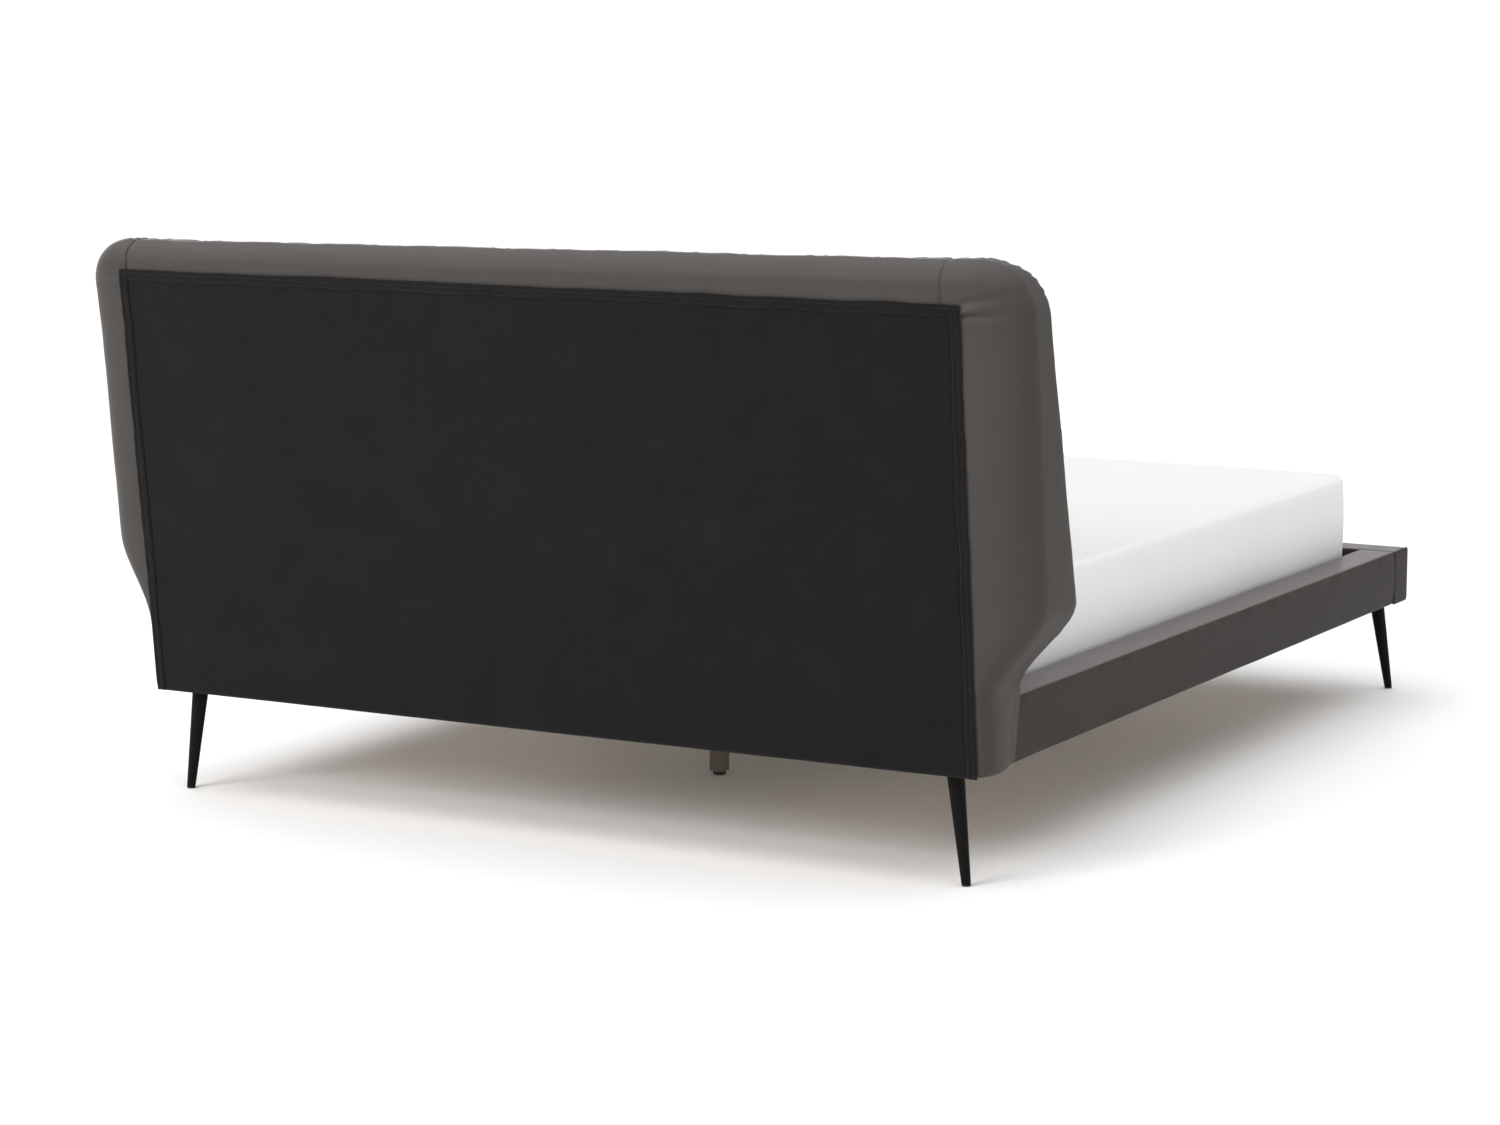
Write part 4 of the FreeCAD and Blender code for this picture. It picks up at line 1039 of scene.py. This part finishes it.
def mattress_rings(low, high):
    """(inset, scale, height) of each ring, from the middle of the underside to the middle of the top."""
    rim = MATTRESS_RIM
    flat = rim + MATTRESS_BORDER
    rings = [(flat, scale, low) for scale in UNDER_SCALES]
    rings += [(rim * (1 - sin(pi / 2 * k / 5)), 1, low + rim * (1 - cos(pi / 2 * k / 5))) for k in range(6)]
    rings += [(0, 1, low + rim + (high - low - 2 * rim) * k / 9) for k in range(1, 10)]
    rings += [(rim * (1 - cos(pi / 2 * k / 6)), 1, high - rim * (1 - sin(pi / 2 * k / 6)))
              for k in range(1, 7)]
    rings += [(rim + wide, 1, high) for wide in (0.006, 0.016, 0.03, MATTRESS_BORDER)]
    return rings + [(flat, scale, high) for scale in OVER_SCALES]


def make_mattress():
    low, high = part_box("mattress")
    centre, half = (low + high) / 2, (high - low) / 2
    rings = mattress_rings(low.z, high.z)
    verts = []
    for inset, scale, z in rings:
        for point in rounded_plan(half.x - inset, half.y - inset, MATTRESS_CORNER - min(inset, 0.06)):
            verts.append(Vector((centre.x + point.x * scale, centre.y + point.y * scale, z)))
    mattress = mesh_object("mattress_cover", verts, ring_faces(len(rings), len(verts) // len(rings)))
    clean(mattress)

    def swell(place, normal):
        u, v, w = (abs(place[i] - centre[i]) / half[i] for i in range(3))
        lift = 0.0
        if normal.z > 0.5:
            lift += 0.006 * (1 - u ** 4) * (1 - v ** 4)
        if abs(normal.z) < 0.5:
            lift += 0.003 * (1 - w ** 2)
        return lift + 0.0014 * ripple(place, 3.0, 4.0) + 0.0008 * ripple(place, 11, 2.0) - 0.002
    displace(mattress, swell)
    dress(mattress, "mattress_ticking", "mattress", ("mattress",))


# ---- turned and small metal pieces ----

LEG_TOE, LEG_TOP = 0.0085, 0.016
# (radius, height over its foot) of a levelling foot's knob.
KNOB = [(0.0105, 0), (0.0122, 0.0006), (0.013, 0.0018), (0.013, 0.0062), (0.0122, 0.0076),
        (0.0105, 0.008), (0.004, 0.008)]
THREADS, THREAD_PITCH = 20, 0.0012
# Radius, height and socket radius of a head.
SCREW_HEAD, BOLT_HEAD = (0.004, 0.002, 0.0018), (0.007, 0.004, 0.0032)
HEX_SIDES = 24


def turned(name, outline, centre_at, sides=40):
    """A closed round piece from (radius, height) points, each round its centre_at(height)."""
    verts = [centre_at(height) + spot for radius, height in outline for spot in circle(radius, 0, sides)]
    return clean(mesh_object(name, verts, ring_faces(len(outline), sides)))


def leg_radius(share):
    """Radius at a share of the leg's height: an even taper with both its edges broken."""
    radius = LEG_TOE + (LEG_TOP - LEG_TOE) * share
    if share < 0.01:
        radius -= 0.0008 * (1 - share / 0.01)
    if share > 0.99:
        radius -= 0.0006 * (share - 0.99) / 0.01
    return radius


def make_legs():
    shares = [0, 0.006, 0.012] + spread(0.03, 0.985, 22) + [0.994, 1.0]
    for corner in CORNERS:
        low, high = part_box(f"leg_{corner}")
        toe, head = (sum(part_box(f"leg_{part}_{corner}"), Vector()) / 2 for part in ("glide", "plate"))
        toe.z, head.z = low.z, high.z
        leg = turned(f"corner_leg_{corner}", [(leg_radius(share), share) for share in shares],
                     lambda share: toe.lerp(head, share))
        dress(leg, "black_metal", replaces=(f"leg_{corner}",))
        base, top = (spot.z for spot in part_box(f"leg_glide_{corner}"))
        outline = [(0.0055, base), (0.0078, base + 0.0004), (LEG_TOE, base + 0.0012),
                   (LEG_TOE, top - 0.0002), (0.008, top)]
        glide = turned(f"corner_glide_{corner}", outline, lambda z: Vector((toe.x, toe.y, z)))
        dress(glide, "black_plastic", replaces=(f"leg_glide_{corner}",))


def make_levelling_feet():
    for end in ENDS:
        low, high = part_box(f"levelling_foot_{end}")
        centre = (low + high) / 2
        outline = [(radius, low.z + height) for radius, height in KNOB]
        for turn in range(THREADS):
            base = low.z + 0.0095 + turn * THREAD_PITCH
            outline += [(0.0036, base), (0.004, base + THREAD_PITCH / 2)]
        outline.append((0.0034, high.z))
        foot = turned(f"screw_foot_{end}", outline, lambda z: Vector((centre.x, centre.y, z)), 32)
        dress(foot, "black_plastic", f"foot_{end}", (f"levelling_foot_{end}",))


def hex_head(radius, height, socket):
    """A low round head with a hexagon socket sunk into it, about Z, seat at zero."""
    rings = [(radius, 0.0), (radius, height * 0.7), (radius * 0.86, height), (socket * 1.18, height)]
    verts = [spot for wide, level in rings for spot in circle(wide, level, HEX_SIDES)]
    for level in (height, height * 0.35):
        for k in range(HEX_SIDES):
            turn = 2 * pi * k / HEX_SIDES
            reach = socket * cos(pi / 6) / cos((turn % (pi / 3)) - pi / 6)
            verts.append(Vector((reach * cos(turn), reach * sin(turn), level)))
    return verts, ring_faces(len(rings) + 2, HEX_SIDES)


def fastener_islands(node):
    """Lowest and highest corner of each separate solid in a node."""
    mesh = NODES[node].data
    keys = [tuple(round(c, 5) for c in vertex.co) for vertex in mesh.vertices]
    solids = {}
    for k, key in enumerate(keys):
        solids.setdefault(key, set()).add(k)
    for edge in mesh.edges:
        one, other = (solids[keys[k]] for k in edge.vertices)
        if one is not other:
            one |= other
            solids.update((keys[k], one) for k in other)
    corners = []
    for solid in {id(solid): solid for solid in solids.values()}.values():
        places = [tuple(mesh.vertices[k].co) for k in solid]
        corners.append((Vector(np.min(places, 0)), Vector(np.max(places, 0))))
    return sorted(corners, key=lambda pair: tuple(round(c, 4) for c in pair[0]))


def fastener_heads(name, node, seat_of, radius, height, socket):
    """A head for each solid of a node, where seat_of(low, high) gives its outer end and its way in."""
    head_verts, head_faces = hex_head(radius, height, socket)
    verts, faces = [], []
    for low, high in fastener_islands(node):
        start, way = seat_of(low, high)
        turn = (-way).to_track_quat("Z", "Y")
        faces += [tuple(len(verts) + k for k in face) for face in head_faces]
        verts += [start + way * height + turn @ spot for spot in head_verts]
    heads = clean(mesh_object(name, verts, faces))
    dress(heads, "zinc_steel", replaces=(node,))


def screw_seat(low, high):
    return Vector(((low.x + high.x) / 2, (low.y + high.y) / 2, low.z)), Vector((0, 0, 1))


def bolt_seat(low, high):
    """Side rails are bolted outward, the foot rail forward and the headboard square to its lean."""
    centre = (low + high) / 2
    if high.x - low.x > high.y - low.y:
        side = 1 if centre.x > 0 else -1
        return Vector((low.x if side > 0 else high.x, centre.y, centre.z)), Vector((side, 0, 0))
    if centre.y < 0:
        return Vector((centre.x, high.y, centre.z)), Vector((0, -1, 0))
    way = Vector((0, cos(LEAN), -sin(LEAN)))
    return centre - way * 0.018, way


# ---- carried-over CAD pieces ----

def finish_cad_nodes():
    for entry in frame["record"]["subparts"]:
        node = NODES[entry["node"]]
        material = MATERIALS[entry["material_slot"]]
        if not node.data.materials:
            node.data.materials.append(material)
        for slot in node.material_slots:
            slot.link = "OBJECT"
            slot.material = material


def soften(nodes, width):
    for name in nodes:
        bevel = NODES[name].modifiers.new("edge", "BEVEL")
        bevel.width = width
        bevel.segments = 2
        bevel.limit_method = "ANGLE"
        bevel.angle_limit = radians(35)
        bevel.harden_normals = False


# ---- stage, light and camera ----

SKY_LOW, SKY_MIDDLE, SKY_TOP = 1.0, 0.36, 1.80
BACKDROP, BACKDROP_WAY = 2.0, (0.485, -0.874, 0.0)
FLOOR_WHITE, FLOOR_PALE = (0.945, 0.945, 0.945), (0.955, 0.955, 0.955)
FLOOR_REACH = 30
LIGHT_AT, LIGHT_GOAL, LIGHT_SIZE, LIGHT_POWER = Vector((2.5, 8.0, 4.5)), Vector((0, 1.0, 0.8)), (4, 3), 400
CAMERA_AT, CAMERA_WAY = (-3.576, 6.735, 1.523), Vector((0.4799, -0.8646, -0.1486))
LENS, SENSOR = 87.94, 36


def set_up(data, place, way):
    """Puts a light or a camera at place, looking along way."""
    thing = bpy.data.objects.new(data.name, data)
    thing.location = place
    thing.rotation_mode = "QUATERNION"
    thing.rotation_quaternion = way.to_track_quat("-Z", "Y")
    bpy.context.scene.collection.objects.link(thing)
    return thing


def make_stage():
    bpy.context.scene.view_settings.view_transform = "Standard"
    corners = [(x * FLOOR_REACH, y * FLOOR_REACH, 0) for x, y in ((-1, -1), (1, -1), (1, 1), (-1, 1))]
    floor = mesh_object("studio_floor", corners, [(0, 1, 2, 3)])
    pale = Finish("studio_floor", FLOOR_WHITE, 0.9)
    pale.color(pale.ramp(pale.noise(0.8, 2, 0.5), [(0.3, FLOOR_WHITE), (0.7, FLOOR_PALE)]))
    pale.set(specular_ior_level=0.0)
    floor.data.materials.append(pale.material)
    world = bpy.data.worlds.new("studio")
    bpy.context.scene.world = world
    world.use_nodes = True
    tree = world.node_tree

    def banded(source, bands):
        return ramp_color(tree, source, [(spot, (level, level, level)) for spot, level in bands])
    way = add_node(tree, "ShaderNodeTexCoord").outputs["Generated"]
    rise = add_node(tree, "ShaderNodeSeparateXYZ", {"Vector": way}).outputs["Z"]
    toward = add_node(tree, "ShaderNodeVectorMath", operation="DOT_PRODUCT")
    toward.inputs[1].default_value = BACKDROP_WAY
    tree.links.new(way, toward.inputs[0])
    above = ((0.62, SKY_MIDDLE), (0.80, SKY_TOP))
    room = banded(rise, ((0.16, SKY_LOW), (0.32, SKY_MIDDLE), *above))
    lit = banded(rise, ((0.20, BACKDROP), (0.36, SKY_MIDDLE), *above))
    share = banded(toward.outputs["Value"], ((0.62, 0.0), (0.88, 1.0)))
    tree.links.new(mix_color(tree, share, room, lit), tree.nodes["Background"].inputs["Color"])
    light = bpy.data.lights.new("front", "AREA")
    light.shape, light.energy = "RECTANGLE", LIGHT_POWER
    light.size, light.size_y = LIGHT_SIZE
    set_up(light, LIGHT_AT, LIGHT_GOAL - LIGHT_AT)


def make_camera():
    camera = bpy.data.cameras.new("camera")
    camera.lens, camera.sensor_width = LENS, SENSOR
    bpy.context.scene.camera = set_up(camera, CAMERA_AT, CAMERA_WAY)


# Bevel width of the CAD pieces whose edges show.
SOFT_EDGES = {
    0.0012: ["slats_left", "slats_right", "slat_ledge_left", "slat_ledge_right", "head_stile_left",
             "head_stile_right", "head_bottom_rail", "side_rail_core_left", "side_rail_core_right",
             "foot_rail_core", "centre_beam"] + [f"centre_leg_{end}" for end in ENDS],
    0.0008: ["slat_holders_left", "slat_holders_right", "slat_holders_centre"],
    0.0006: [f"leg_plate_{corner}" for corner in CORNERS],
    0.0005: ["beam_hanger_foot", "beam_hanger_head"] + [f"corner_bracket_{corner}" for corner in CORNERS],
}

make_camera()
finish_cad_nodes()
make_headboard()
make_dust_cover()
make_side_rails()
make_foot_rail()
make_mattress()
make_legs()
make_levelling_feet()
fastener_heads("leg_screw_heads", "leg_screws", screw_seat, *SCREW_HEAD)
fastener_heads("bracket_bolt_heads", "bracket_bolts", bolt_seat, *BOLT_HEAD)
for width, nodes in SOFT_EDGES.items():
    soften(nodes, width)
make_stage()
